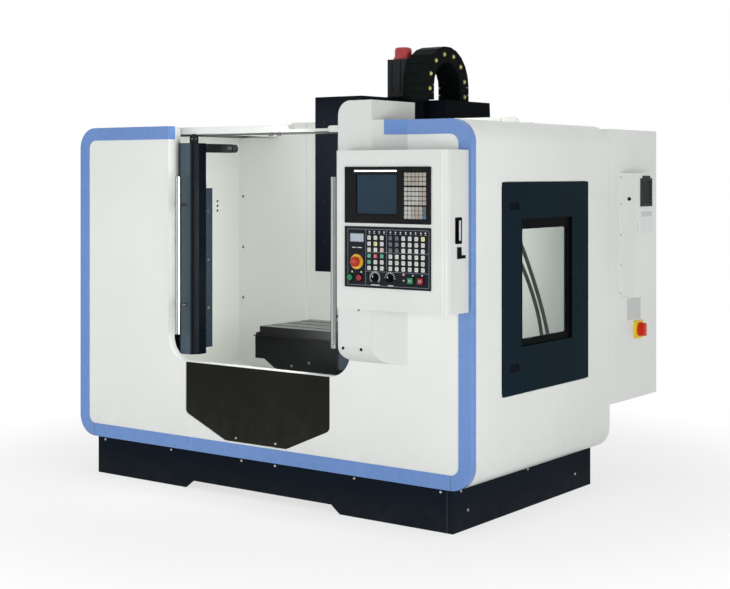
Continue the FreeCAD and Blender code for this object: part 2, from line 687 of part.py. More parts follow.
def top_rail():
    """Guide channel for both doors, lipped under its edges, with a tie rod behind it and two stops."""
    half = RAIL_HALF
    z0 = DOOR_TOP + HANGER_HIGH
    wide = RAIL_WIDE / 2
    channel = box(-half, half, RAIL_Y - wide, RAIL_Y + wide, z0, z0 + RAIL_HIGH)
    hollow = box(-half - 1, half + 1, RAIL_Y - wide + SKIN, RAIL_Y + wide - SKIN, z0 + SKIN,
                 z0 + RAIL_HIGH - SKIN)
    slot = box(-half - 1, half + 1, RAIL_Y - RAIL_SLOT, RAIL_Y + RAIL_SLOT, z0 - 1, z0 + SKIN + 1)
    rod_y = RAIL_Y + wide + ROD_R + 2 * SKIN
    rod_z = z0 - ROD_R
    bar = rod(ROD_R, (-half, rod_y, rod_z), (half, rod_y, rod_z))
    stops = [box(DOORWAY_X + x - STOP_HALF, DOORWAY_X + x + STOP_HALF, RAIL_Y + wide, rod_y + ROD_R + SKIN,
                 rod_z - 2 * ROD_R, rod_z + 3 * ROD_R) for x in RAIL_STOPS]
    reach = LINER - SHEET - half + RAIL_FOOT
    feet = [box(x, x + reach, RAIL_Y - wide, rod_y + ROD_R, z0 - 2 * ROD_R, z0 + RAIL_FOOT).cut(hollow)
            for x in (SHEET - LINER, half - RAIL_FOOT)]
    nodes["top_rail"] = [joined([channel.cut(hollow).cut(slot), bar] + stops + feet)]


# ---- plinth, bed, feet, pan ------------------------------------------------------------------

def plinth():
    """Folded skirt with an inward top flange, a raised front edge and a passage at the back."""
    t = PLINTH_SHEET
    outer = box(-PLINTH_HALF, PLINTH_HALF, PLINTH_FRONT, PLINTH_BACK, 0, BASE)
    inner = box(-PLINTH_HALF + t, PLINTH_HALF - t, PLINTH_FRONT + t, PLINTH_BACK - t, -1, BASE - t)
    lid = box(-PLINTH_HALF + PLINTH_RIM, PLINTH_HALF - PLINTH_RIM, PLINTH_FRONT + PLINTH_RIM,
              PLINTH_BACK - PLINTH_RIM, BASE - t - 1, BASE + 1)
    kick = [(KICK_LEFT - KICK_SLOPE, -1), (KICK_RIGHT + KICK_SLOPE, -1), (KICK_RIGHT, KICK_HEIGHT),
            (KICK_LEFT, KICK_HEIGHT)]
    skirt = outer.cut([inner, lid])
    skirt = skirt.cut(prism(kick, "xz", PLINTH_FRONT - 1, PLINTH_FRONT + t + 1))
    passage = box(-PASSAGE_HALF, PASSAGE_HALF, PLINTH_BACK - PASSAGE_DEEP, PLINTH_BACK + 1, -1, BASE + 1)
    nodes["plinth"] = [skirt.cut(passage)]


def bed():
    """Cast base: a ribbed box with two slideways and a seat for the column."""
    body = box(-BED_HALF, BED_HALF, BED_FRONT, COLUMN_BACK, FOOT_HEIGHT, BED_TOP)
    wide = (2 * BED_HALF - BED_WALL * (BED_COLUMNS + 1)) / BED_COLUMNS
    deep = (COLUMN_BACK - BED_FRONT - BED_WALL * (BED_ROWS + 1)) / BED_ROWS
    cells = []
    for i in range(BED_COLUMNS):
        x0 = -BED_HALF + BED_WALL + i * (wide + BED_WALL)
        for j in range(BED_ROWS):
            y0 = BED_FRONT + BED_WALL + j * (deep + BED_WALL)
            cells.append(box(x0, x0 + wide, y0, y0 + deep, FOOT_HEIGHT - 1, BED_TOP - BED_WALL))
    body = body.cut(cells)
    ways = [box(x - WAY_WIDTH / 2, x + WAY_WIDTH / 2, BED_FRONT + BED_WALL, COLUMN_FRONT - BED_WALL,
                BED_TOP, BED_TOP + Y_WAY_HIGH) for x in (-Y_WAY_X, Y_WAY_X)]
    seat = box(-COLUMN_HALF - SEAT_LAP, COLUMN_HALF + SEAT_LAP, COLUMN_FRONT - SEAT_LAP / 2, COLUMN_BACK,
               BED_TOP, BED_TOP + SEAT_HIGH)
    nodes["bed"] = [joined([body] + ways + [seat])]


def levelling_feet():
    rows = (BED_FRONT + FOOT_INSET, (BED_FRONT + COLUMN_BACK) / 2, COLUMN_BACK - FOOT_INSET)
    feet = []
    for x in (-BED_HALF + BED_WALL / 2, BED_HALF - BED_WALL / 2):
        for y in rows:
            pad = Part.makeCone(FOOT_R, FOOT_TOP_R, FOOT_PAD, FreeCAD.Vector(x, y, 0))
            stem = rod(FOOT_STEM_R, (x, y, FOOT_PAD - 1), (x, y, FOOT_HEIGHT))
            turns = [math.radians(angle) for angle in range(0, 360, 60)]
            nut = [(x + FOOT_NUT * math.cos(turn), y + FOOT_NUT * math.sin(turn)) for turn in turns]
            feet.append(joined([pad, stem, prism(nut, "xy", FOOT_HEIGHT - FOOT_PAD, FOOT_HEIGHT)]))
    nodes["levelling_feet"] = feet


def chip_pan():
    """Sloping trays between the bed and the inner walls, with a level one in front of the bed."""
    outer = LINER - SHEET
    front = PANEL_BACK + PAN_GAP
    trays = []
    for sign in (-1, 1):
        inner = sign * BED_HALF
        tray = [(sign * outer, PAN_LOW + PAN_RISE), (inner, PAN_LOW), (inner, PAN_LOW - SHEET),
                (sign * outer, PAN_LOW + PAN_RISE - SHEET)]
        trays.append(prism(tray, "xz", front, BACK_WALL - SHEET))
    middle = box(-BED_HALF, BED_HALF, front, BED_FRONT, PAN_LOW - SHEET, PAN_LOW)
    nodes["chip_pan"] = [joined(trays + [middle])]


# ---- column, table, saddle -------------------------------------------------------------------

def column():
    """Cast column: hollow box section that narrows upward, with two upright slideways."""
    foot = BED_TOP + SEAT_HIGH
    front = COLUMN_FRONT
    crown = COLUMN_BACK - COLUMN_TAPER
    wall = COLUMN_WALL
    side = [(front, foot), (COLUMN_BACK, foot), (crown, COLUMN_TOP), (front, COLUMN_TOP)]
    body = prism(side, "yz", -COLUMN_HALF, COLUMN_HALF)
    hollow = [(front + wall, foot - 1), (COLUMN_BACK - wall, foot - 1), (crown - wall, COLUMN_TOP - wall),
              (front + wall, COLUMN_TOP - wall)]
    body = body.cut(prism(hollow, "yz", -COLUMN_HALF + wall, COLUMN_HALF - wall))
    window = rectangle(-COLUMN_WINDOW, COLUMN_WINDOW, foot + 2 * COLUMN_WINDOW, foot + 5 * COLUMN_WINDOW,
                       COLUMN_WINDOW / 2)
    body = body.cut(prism(window, "xz", COLUMN_BACK - 2 * COLUMN_TAPER, COLUMN_BACK + 1))
    ways = [box(x - WAY_WIDTH / 2, x + WAY_WIDTH / 2, COLUMN_FRONT - Z_WAY_PROUD, COLUMN_FRONT,
                Z_WAY_BOTTOM, COLUMN_TOP) for x in (-Z_WAY_X, Z_WAY_X)]
    reach = MOTOR_SIZE / 2 + MOTOR_LEDGE
    seat = box(MOTOR_X - reach, MOTOR_X + reach, MOTOR_Y - reach, MOTOR_Y + reach, COLUMN_TOP,
               COLUMN_TOP + MOTOR_SEAT)
    nodes["column"] = [joined([body] + ways + [seat])]


def table():
    x0 = DOORWAY_X - TABLE_LENGTH / 2
    x1 = DOORWAY_X + TABLE_LENGTH / 2
    y0 = TABLE_FRONT
    y1 = TABLE_FRONT + TABLE_DEPTH
    z0 = TABLE_TOP - TABLE_THICK
    neck_z = TABLE_TOP - T_NECK_DEEP
    body = box(x0, x1, y0, y1, z0, TABLE_TOP)
    for i in range(T_SLOTS):
        y = TABLE_Y + (i - (T_SLOTS - 1) / 2) * T_PITCH
        neck = box(x0 - 1, x1 + 1, y - T_NECK / 2, y + T_NECK / 2, neck_z, TABLE_TOP + 1)
        head = box(x0 - 1, x1 + 1, y - T_HEAD / 2, y + T_HEAD / 2, neck_z - T_HEAD_DEEP, neck_z)
        body = body.cut([neck, head])
    ends = []
    for x in (x0 - TROUGH, x1):
        gutter = box(x, x + TROUGH, y0, y1, z0, TABLE_TOP - TROUGH_DOWN)
        ends.append(gutter.cut(box(x + TROUGH_WALL, x + TROUGH - TROUGH_WALL, y0 + TROUGH_WALL,
                                   y1 - TROUGH_WALL, z0 + TROUGH_WALL, TABLE_TOP)))
    skirts = [box(x0, x1, y, y + SKIRT_THICK, z0 - SKIRT_HIGH, z0) for y in (y0, y1 - SKIRT_THICK)]
    nodes["table"] = [joined([body] + ends + skirts)]


def saddle():
    y0 = SADDLE_FRONT
    y1 = TABLE_FRONT + TABLE_DEPTH - SKIRT_THICK
    top = SADDLE_TOP - X_WAY_HIGH
    body = box(-SADDLE_HALF, SADDLE_HALF, y0, y1, SADDLE_BOTTOM, top)
    ways = [box(-SADDLE_HALF, SADDLE_HALF, y - WAY_WIDTH / 2, y + WAY_WIDTH / 2, top, SADDLE_TOP)
            for y in (TABLE_Y - X_WAY_Y, TABLE_Y + X_WAY_Y)]
    cheeks = [box(x, x + SADDLE_CHEEK, y0, y1, SADDLE_BOTTOM - SADDLE_DROP, SADDLE_BOTTOM)
              for x in (-SADDLE_HALF, SADDLE_HALF - SADDLE_CHEEK)]
    nodes["saddle"] = [joined([body] + ways + cheeks)]


def saddle_guard():
    """Dark plate on the saddle's front, with sloping lower corners and a folded top."""
    side = [(GUARD_HALF, GUARD_TOP), (GUARD_HALF, GUARD_SIDE_Z), (GUARD_HALF - GUARD_STEP, GUARD_SIDE_Z),
            (GUARD_HALF - GUARD_STEP - GUARD_SLOPE, GUARD_BOTTOM)]
    points = [(DOORWAY_X + x, z) for x, z in side]
    points += [(DOORWAY_X - x, z) for x, z in reversed(side)]
    plate = prism(points, "xz", SADDLE_FRONT - SHEET, SADDLE_FRONT)
    fold = box(DOORWAY_X - GUARD_HALF, DOORWAY_X + GUARD_HALF, SADDLE_FRONT - GUARD_FOLD,
               SADDLE_FRONT - SHEET, GUARD_TOP - SHEET, GUARD_TOP)
    nodes["saddle_guard"] = [joined([plate, fold])]


# ---- spindle head ----------------------------------------------------------------------------

def head():
    """Head casting with its slide and the drag chain's bracket."""
    low = HEAD_BOTTOM + SKIN
    top = HEAD_TOP - HEAD_CAST_DOWN
    front = HEAD_FRONT + SKIN
    side = [(front, low), (HEAD_CAST_BACK, low), (HEAD_CAST_BACK, SLIDE_TOP + HEAD_CAST_DOWN),
            (HEAD_CAST_BACK - HEAD_CAST_DOWN, top), (front + HEAD_CAST_DOWN, top),
            (front + HEAD_CAST_DOWN, SLIDE_TOP - 2 * HEAD_CAST_DOWN),
            (front, SLIDE_TOP - 3 * HEAD_CAST_DOWN)]
    body = prism(side, "yz", -HEAD_CAST_HALF, HEAD_CAST_HALF)
    quill = rod(QUILL_R, (0, SPINDLE_Y, QUILL_BOTTOM), (0, SPINDLE_Y, low))
    way = COLUMN_FRONT - Z_WAY_PROUD
    slide = box(-SLIDE_HALF, SLIDE_HALF, HEAD_CAST_BACK - HEAD_CAST_DOWN, COLUMN_FRONT - SLIDE_BACK,
                SLIDE_BOTTOM, SLIDE_TOP)
    half = WAY_WIDTH / 2 + SLIDE_GAP
    for x in (-Z_WAY_X, Z_WAY_X):
        slide = slide.cut(box(x - half, x + half, way - SLIDE_GAP, COLUMN_FRONT, SLIDE_BOTTOM - 1,
                              SLIDE_TOP + 1))
    left = CHAIN_RIGHT - CHAIN_WIDTH
    arm_top = CHAIN_Z - CHAIN_ARM
    arm = box(left, CHAIN_RIGHT, CHAIN_Y - CHAIN_R - CHAIN_THICK / 2, way - SKIN, arm_top - CHAIN_WALL,
              arm_top)
    web = box(left, HEAD_CAST_HALF, HEAD_CAST_BACK - 2 * HEAD_CAST_DOWN, way - SKIN,
              SLIDE_TOP + HEAD_CAST_DOWN, arm_top - CHAIN_WALL)
    bore = rod(SPINDLE_R + SPINDLE_CLEAR, (0, SPINDLE_Y, QUILL_BOTTOM - 1), (0, SPINDLE_Y, SPINDLE_TOP + 1))
    nodes["head_casting"] = [joined([body, quill, slide, arm, web]).cut(bore)]


def head_cover():
    """Five-sided sheet cover over the head, open behind, with a round throat for the spindle."""
    outer = box(-HEAD_HALF, HEAD_HALF, HEAD_FRONT, HEAD_COVER_BACK, HEAD_BOTTOM, HEAD_TOP)
    inner = box(-HEAD_HALF + SKIN, HEAD_HALF - SKIN, HEAD_FRONT + SKIN, HEAD_COVER_BACK + 1,
                HEAD_BOTTOM + SKIN, HEAD_TOP - SKIN)
    throat = rod(QUILL_R + SKIN, (0, SPINDLE_Y, HEAD_BOTTOM - 1), (0, SPINDLE_Y, HEAD_BOTTOM + SKIN + 1))
    nodes["head_cover"] = [outer.cut(inner).cut(throat)]


def spindle():
    """Spindle with a steep-taper socket and two drive keys on its nose."""
    shaft = rod(SPINDLE_R, (0, SPINDLE_Y, QUILL_BOTTOM - 1), (0, SPINDLE_Y, SPINDLE_TOP))
    nose = rod(NOSE_R, (0, SPINDLE_Y, NOSE_Z), (0, SPINDLE_Y, NOSE_Z + NOSE_HIGH))
    neck = rod(SPINDLE_R + 2 * SKIN, (0, SPINDLE_Y, NOSE_Z + NOSE_HIGH), (0, SPINDLE_Y, QUILL_BOTTOM - CLEAR))
    socket = Part.makeCone(TAPER_R, TAPER_R - TAPER_DEEP * TAPER_RATIO, TAPER_DEEP,
                           FreeCAD.Vector(0, SPINDLE_Y, NOSE_Z))
    key_y = (TAPER_R + NOSE_R) / 2
    keys = [box(-KEY_HALF, KEY_HALF, y - 2 * KEY_HALF, y + 2 * KEY_HALF, NOSE_Z - KEY_HALF, NOSE_Z + 1)
            for y in (SPINDLE_Y - key_y, SPINDLE_Y + key_y)]
    nodes["spindle"] = [joined([shaft, nose, neck] + keys).cut(socket)]


def feed_motor():
    """Servo motor with grooved sides, its plug, and the round cap over its encoder."""
    z0 = COLUMN_TOP + MOTOR_SEAT
    top = z0 + MOTOR_HIGH
    half = MOTOR_SIZE / 2
    square = rectangle(MOTOR_X - half, MOTOR_X + half, MOTOR_Y - half, MOTOR_Y + half, MOTOR_BEND)
    body = prism(square, "xy", z0, top)
    low = z0 + MOTOR_SEAT
    groove = MOTOR_GROOVE
    for sign in (-1, 1):
        x = MOTOR_X + sign * half * MOTOR_GROOVE_AT
        y = MOTOR_Y + sign * half * MOTOR_GROOVE_AT
        face_y = MOTOR_Y - half
        face_x = MOTOR_X + half
        body = body.cut(box(x - groove, x + groove, face_y - 1, face_y + groove, low, top + 1))
        body = body.cut(box(face_x - groove, face_x + 1, y - groove, y + groove, low, top + 1))
    plug = box(MOTOR_X - 2 * MOTOR_BEND, MOTOR_X + 2 * MOTOR_BEND, MOTOR_Y + half,
               MOTOR_Y + half + 3 * MOTOR_BEND, top - 5 * MOTOR_BEND, top - MOTOR_BEND)
    nodes["feed_motor"] = [joined([body, plug])]
    base = rod(CAP_R + 2 * SKIN, (MOTOR_X, MOTOR_Y, top), (MOTOR_X, MOTOR_Y, top + CAP_BASE))
    cap = rod(CAP_R, (MOTOR_X, MOTOR_Y, top + CAP_BASE - 1), (MOTOR_X, MOTOR_Y, top + CAP_HIGH))
    rim = [edge for edge in cap.Edges if edge.BoundBox.ZMin > top + CAP_HIGH - 0.1]
    nodes["motor_cap"] = [joined([base, cap.makeChamfer(CAP_EDGE, rim)])]


def drag_chain():
    """Half-round arch of hollow links with two short straight legs, pinned at every joint."""
    left = CHAIN_RIGHT - CHAIN_WIDTH
    step = math.pi / CHAIN_LINKS
    half = CHAIN_THICK / 2
    gap = LINK_GAP / CHAIN_R
    solids = []
    for i in range(CHAIN_LINKS):
        first = i * step + gap
        last = (i + 1) * step - gap
        outer = wedge(CHAIN_R - half, CHAIN_R + half, first, last)
        inner = wedge(CHAIN_R - half + CHAIN_WALL, CHAIN_R + half - CHAIN_WALL, first - gap, last + gap)
        link = prism(outer, "yz", left, CHAIN_RIGHT)
        solids.append(link.cut(prism(inner, "yz", left + CHAIN_WALL, CHAIN_RIGHT - CHAIN_WALL)))
    pitch = math.pi * CHAIN_R / CHAIN_LINKS
    for y, low in ((CHAIN_Y + CHAIN_R, COLUMN_TOP), (CHAIN_Y - CHAIN_R, CHAIN_Z - CHAIN_ARM)):
        count = round((CHAIN_Z - low) / pitch)
        high = (CHAIN_Z - low) / count
        for i in range(count):
            z0 = low + i * high + (LINK_GAP if i else 0)
            z1 = low + (i + 1) * high - LINK_GAP
            link = box(left, CHAIN_RIGHT, y - half, y + half, z0, z1)
            solids.append(link.cut(box(left + CHAIN_WALL, CHAIN_RIGHT - CHAIN_WALL, y - half + CHAIN_WALL,
                                       y + half - CHAIN_WALL, z0 - 1, z1 + 1)))
            solids += chain_pins(y, z1)
    for i in range(1, CHAIN_LINKS):
        solids += chain_pins(CHAIN_Y + CHAIN_R * math.cos(i * step), CHAIN_Z + CHAIN_R * math.sin(i * step))
    nodes["drag_chain"] = [joined(solids)]


def wedge(near, far, first, last):
    """Side view of one link in the arch, between two angles."""
    corners = ((far, first), (far, last), (near, last), (near, first))
    return [(CHAIN_Y + radius * math.cos(angle), CHAIN_Z + radius * math.sin(angle))
            for radius, angle in corners]


def chain_pins(y, z):
    """Two pins inside a link's side walls that join it to the next."""
    left = CHAIN_RIGHT - CHAIN_WIDTH
    return [rod(CHAIN_PIN_R, (x + 1, y, z), (x + CHAIN_WALL - 1, y, z))
            for x in (left, CHAIN_RIGHT - CHAIN_WALL)]


# ---- cabinet ---------------------------------------------------------------------------------

def cabinet():
    """Electrical cabinet: open-backed box with a rim, its mounting plate and two carrying beams."""
    back = CABINET_BACK - CABINET_DOOR
    outer = box(CABINET_LEFT, HALF, CABINET_FRONT, back, CABINET_BOTTOM, CABINET_TOP)
    inner = box(CABINET_LEFT + SKIN, HALF - SKIN, CABINET_FRONT + SKIN, back + 1, CABINET_BOTTOM + SKIN,
                CABINET_TOP - SKIN)
    rim = box(CABINET_LEFT, HALF, back - CABINET_RIM / 2, back, CABINET_BOTTOM, CABINET_TOP)
    rim = rim.cut(box(CABINET_LEFT + CABINET_RIM, HALF - CABINET_RIM, back - CABINET_RIM, back + 1,
                      CABINET_BOTTOM + CABINET_RIM, CABINET_TOP - CABINET_RIM))
    plate_y = CABINET_FRONT + CABINET_PLATE
    plate = box(CABINET_LEFT + SKIN, HALF - SKIN, plate_y, plate_y + SKIN, CABINET_BOTTOM + CABINET_BEAM,
                CABINET_TOP - CABINET_BEAM)
    beam_y = CABINET_FRONT + CABINET_BEAM
    beams = [box(COLUMN_HALF, CABINET_LEFT, beam_y, beam_y + CABINET_BEAM, z, z + CABINET_BEAM)
             for z in (CABINET_BOTTOM + 2 * CABINET_BEAM, CABINET_TOP - 3 * CABINET_BEAM)]
    nodes["cabinet"] = [joined([outer.cut(inner), rim, plate] + beams)]
    leaf = box(CABINET_LEFT, HALF, back + SLIDE_GAP, CABINET_BACK, CABINET_BOTTOM, CABINET_TOP)
    pocket = box(CABINET_LEFT + CABINET_RIM, HALF - CABINET_RIM, back, CABINET_BACK - SKIN,
                 CABINET_BOTTOM + CABINET_RIM, CABINET_TOP - CABINET_RIM)
    nodes["cabinet_door"] = [leaf.cut(pocket)]


def cooler():
    """Cooling unit on the cabinet's side, with a louvred module let into its face."""
    x1 = HALF + COOLER_DEPTH
    body = box(HALF, x1, COOLER_FRONT, COOLER_BACK, COOLER_BOTTOM, COOLER_TOP)
    hollow = box(HALF - 1, x1 - SKIN, COOLER_FRONT + SKIN, COOLER_BACK - SKIN, COOLER_BOTTOM + SKIN,
                 COOLER_TOP - SKIN)
    flange = box(HALF, HALF + SKIN, COOLER_FRONT - COOLER_FLANGE, COOLER_BACK, COOLER_BOTTOM, COOLER_TOP)
    seat = rectangle(GRILLE_FRONT, GRILLE_BACK, GRILLE_BOTTOM, GRILLE_TOP)
    body = joined([body.cut(hollow), flange]).cut(prism(seat, "yz", x1 - 2 * SKIN, x1 + 1))
    nodes["cooling_unit"] = [body]
    module = prism(seat, "yz", x1 - GRILLE_DEEP, x1 + GRILLE_PROUD)
    pitch = (GRILLE_TOP - GRILLE_BOTTOM - 2 * GRILLE_EDGE) / LOUVRES
    for i in range(LOUVRES):
        z = GRILLE_BOTTOM + GRILLE_EDGE + (i + 0.25) * pitch
        module = module.cut(box(x1 - SKIN, x1 + GRILLE_PROUD + 1, GRILLE_FRONT + GRILLE_EDGE,
                                GRILLE_BACK - GRILLE_EDGE, z, z + pitch / 2))
    tab = box(x1, x1 + GRILLE_PROUD, GRILLE_FRONT + 2 * GRILLE_EDGE, GRILLE_BACK - 2 * GRILLE_EDGE,
              GRILLE_TOP, GRILLE_TOP + GRILLE_EDGE)
    nodes["cooling_grille"] = [joined([module, tab])]


def isolator():
    half = ISOLATOR_SIZE / 2
    plate = rectangle(ISOLATOR_Y - half, ISOLATOR_Y + half, ISOLATOR_Z - half, ISOLATOR_Z + half,
                      ISOLATOR_THICK)
    nodes["isolator_plate"] = [prism(plate, "yz", HALF, HALF + ISOLATOR_THICK)]
    x0 = HALF + ISOLATOR_THICK + SLIDE_GAP
    disc = rod(KNOB_R, (x0, ISOLATOR_Y, ISOLATOR_Z), (x0 + ISOLATOR_THICK, ISOLATOR_Y, ISOLATOR_Z))
    grip = rectangle(ISOLATOR_Y - GRIP_HALF, ISOLATOR_Y + GRIP_HALF, ISOLATOR_Z - KNOB_R + SKIN,
                     ISOLATOR_Z + KNOB_R - SKIN, GRIP_HALF - 1)
    nodes["isolator_knob"] = [joined([disc, prism(grip, "yz", x0 + ISOLATOR_THICK - 1, x0 + KNOB_HIGH)])]


# ---- sliding doors ---------------------------------------------------------------------------

def sliding_door(side):
    """The left-hand door as it stands open; the right-hand one is its mirror image."""
    lead = DOORWAY_X - DOOR_LEAD
    far = lead - DOOR_LENGTH
    back = DOOR_FACE + DOOR_THICK
    edge = lead - NOSE_WIDE
    leaf = box(far, edge + SKIN, DOOR_FACE, back, DOOR_BOTTOM, DOOR_TOP)
    leaf = leaf.cut(box(far + SKIN, edge, DOOR_FACE + SKIN, back + 1, DOOR_BOTTOM + SKIN, DOOR_TOP - SKIN))
    x1 = edge - WINDOW_INSET
    x0 = x1 - DOOR_WINDOW
    frame = box(x0 - WINDOW_FRAME, x1 + WINDOW_FRAME, DOOR_FACE + SKIN, back, WINDOW_BOTTOM - WINDOW_FRAME,
                WINDOW_TOP + WINDOW_FRAME)
    sight = rectangle(x0, x1, WINDOW_BOTTOM, WINDOW_TOP, WINDOW_R)
    rebate = rectangle(x0 - PANE_REBATE, x1 + PANE_REBATE, WINDOW_BOTTOM - PANE_REBATE,
                       WINDOW_TOP + PANE_REBATE, WINDOW_R)
    nose = prism(nose_outline(lead, 0), "xy", DOOR_BOTTOM, DOOR_TOP)
    nose = nose.cut(prism(nose_outline(lead, SKIN), "xy", DOOR_BOTTOM + SKIN, DOOR_TOP - SKIN))
    strip = box(lead - SKIN, lead, back - 1, back + GUARD_DEPTH, DOOR_BOTTOM + WINDOW_FRAME, GUARD_STRIP_TOP)
    shell = joined([leaf, frame, nose, strip]).cut(prism(sight, "xz", DOOR_FACE - 1, back + 1))
    shell = shell.cut(prism(rebate, "xz", DOOR_FACE + SKIN, back + 1))
    pane = prism(rebate, "xz", DOOR_FACE + SKIN, DOOR_FACE + SKIN + GLASS)
    x = DOORWAY_X - HANDLE_X
    grip = rod(HANDLE_R, (x, HANDLE_Y, HANDLE_BOTTOM), (x, HANDLE_Y, HANDLE_TOP))
    feet = [rod(HANDLE_R / 2, (x, HANDLE_Y, z), (x, DOOR_FACE, z))
            for z in (HANDLE_BOTTOM + HANDLE_FOOT, HANDLE_TOP - HANDLE_FOOT)]
    handle = joined([grip] + feet).cut(prism(nose_outline(lead, 0), "xy", DOOR_BOTTOM, DOOR_TOP))
    parts = {"door": [shell], "door_glass": [pane], "door_hanger": door_hanger(lead, far),
             "door_handle": [handle]}
    for name, shapes in parts.items():
        if side == "right":
            shapes = [mirror(shape, DOORWAY_X) for shape in shapes]
        nodes[name + "_" + side] = shapes


def door_hanger(lead, far):
    """Two ears with their wheels, and the arm with a roller behind the leading edge."""
    pieces = []
    top = DOOR_TOP + HANGER_HIGH
    wheel_z = top + SKIN + WHEEL_R + SLIDE_GAP
    for x in (lead - HANGER_X, far + HANGER_X):
        corners = [(x - EAR_HALF, DOOR_TOP), (x + EAR_HALF, DOOR_TOP), (x + EAR_HALF, top - SKIN, EAR_R),
                   (x - EAR_HALF, top - SKIN, EAR_R)]
        ear = prism(corners, "xz", RAIL_Y - EAR_THICK / 2, RAIL_Y + EAR_THICK / 2)
        for dx in (-EAR_HALF / 2, EAR_HALF / 2):
            z = DOOR_TOP + HANGER_HIGH / 2
            ear = ear.cut(rod(EAR_HOLE, (x + dx, RAIL_Y - EAR_THICK, z), (x + dx, RAIL_Y + EAR_THICK, z)))
        stem = box(x - EAR_THICK, x + EAR_THICK, RAIL_Y - EAR_THICK / 2, RAIL_Y + EAR_THICK / 2,
                   top - 2 * SKIN, wheel_z)
        wheel = rod(WHEEL_R, (x, RAIL_Y - WHEEL_HALF, wheel_z), (x, RAIL_Y + WHEEL_HALF, wheel_z))
        pieces.append(joined([ear, stem, wheel]))
    arm_z = DOOR_TOP - ARM_DOWN
    back = DOOR_FACE + DOOR_THICK
    roller_y = back + ARM_LENGTH + ROLLER_R / 2
    arm = box(lead - ARM_X - ROLLER_R / 2, lead - ARM_X + ROLLER_R / 2, back, back + ARM_LENGTH,
              arm_z - ARM_HIGH, arm_z)
    roller = rod(ROLLER_R, (lead - ARM_X - ROLLER_R, roller_y, arm_z - ARM_HIGH / 2),
                 (lead - ARM_X + ROLLER_R, roller_y, arm_z - ARM_HIGH / 2))
    pieces.append(joined([arm, roller]))
    return pieces


def nose_outline(lead, inset):
    """Plan of the door's rounded leading edge: a shallow bow in front of a flat back."""
    x0 = lead - NOSE_WIDE + inset
    x1 = lead - inset
    front = NOSE_FRONT + inset
    back = DOOR_FACE + DOOR_THICK - inset
    bow = NOSE_BOW - inset
    return [(x0, back), (x0, front + NOSE_EASE), (x0 + NOSE_RISE, front, bow),
            (x1 - NOSE_EASE, front, bow), (x1, front + NOSE_RISE), (x1, back)]


# ---- side doors ------------------------------------------------------------------------------

def side_door(side, door_back):
    """Side door: a thick leaf with a stepped window and two flush latches in cups."""
    x1 = HALF + SIDE_DOOR_PROUD
    x0 = x1 - SIDE_DOOR_THICK
    y0 = SIDE_DOOR_FRONT + PANE_INSET_FRONT
    y1 = door_back - PANE_INSET_BACK
    step = PANE_STEP
    leaf = prism(rectangle(SIDE_DOOR_FRONT, door_back, SIDE_DOOR_BOTTOM, SIDE_DOOR_TOP, SIDE_DOOR_R),
                 "yz", x0, x1)
    recess = prism(rectangle(y0, y1, PANE_BOTTOM, PANE_TOP, LATCH_THICK), "yz", x1 - PANE_STEP_DEEP, x1 + 1)
    sight = prism(rectangle(y0 + step, y1 - step, PANE_BOTTOM + step, PANE_TOP - PANE_STEP_TOP, LATCH_THICK),
                  "yz", x0 - 1, x1 + 1)
    lap = step - PANE_REBATE
    seat = rectangle(y0 + lap, y1 - lap, PANE_BOTTOM + lap, PANE_TOP - PANE_STEP_TOP + PANE_REBATE,
                     LATCH_THICK)
    pane_x = x1 - PANE_STEP_DEEP - SHEET
    pane = prism(seat, "yz", pane_x - GLASS, pane_x)
    leaf = leaf.cut([recess, sight, pane])
    y = SIDE_DOOR_FRONT + LATCH_Y
    flip = side == "left"
    for name, z in (("upper", SIDE_DOOR_TOP - LATCH_UP), ("lower", SIDE_DOOR_BOTTOM + LATCH_DOWN)):
        far = LATCH_LONG / 2
        tall = LATCH_HIGH / 2
        paddle = prism(rectangle(y - far, y + far, z - tall, z + tall, LATCH_THICK), "yz",
                       x1 - LATCH_SUNK - LATCH_THICK, x1 - LATCH_SUNK)
        far += LATCH_CLEAR
        tall += LATCH_CLEAR
        leaf = leaf.cut(prism(rectangle(y - far, y + far, z - tall, z + tall, LATCH_THICK), "yz",
                              x1 - LATCH_SUNK - LATCH_THICK - SLIDE_GAP, x1 + 1))
        nodes["latch_" + name + "_" + side] = [mirror(paddle) if flip else paddle]
    nodes["side_door_" + side] = [mirror(leaf) if flip else leaf]
    nodes["side_glass_" + side] = [mirror(pane) if flip else pane]


# ---- operator box ---------------------------------------------------------------------------

def box_outline(offset):
    """Plan of the operator box; its back follows the housing's front, cheek and the panel beside it."""
    return [(BOX_LEFT, HOUSING_FRONT - offset), (HOUSING_TURN, HOUSING_FRONT - offset),
            (HOUSING_END, -offset), (BOX_RIGHT, -offset), (BOX_RIGHT, BOX_FRONT, BOX_R),
            (BOX_LEFT, BOX_FRONT, SHEET)]


def operator_box():
    """Hinged box without a back: it shuts against the housing."""
    shell = prism(box_outline(BOX_GAP), "xy", BOX_BOTTOM, BOX_TOP)
    core = [(BOX_LEFT + SKIN, 0), (BOX_RIGHT - SKIN, 0), (BOX_RIGHT - SKIN, BOX_FRONT + SKIN, BOX_R - SKIN),
            (BOX_LEFT + SKIN, BOX_FRONT + SKIN)]
    shell = shell.cut(prism(core, "xy", BOX_BOTTOM + SKIN, BOX_TOP - SKIN))
    for z0, z1 in ((SCREEN_UNIT_BOTTOM, SCREEN_UNIT_TOP), (PANEL_BOTTOM, PANEL_TOP)):
        window = rectangle(UNIT_LEFT + UNIT_LAP, UNIT_RIGHT - UNIT_LAP, z0 + UNIT_LAP, z1 - UNIT_LAP)
        shell = shell.cut(prism(window, "xz", BOX_FRONT - 1, BOX_FRONT + SKIN + 1))
    hole = lock_outline(LOCK_LIP - LOCK_FIT)
    nodes["box_shell"] = [shell.cut(prism(hole, "yz", BOX_RIGHT - SKIN - 1, BOX_RIGHT + 1))]


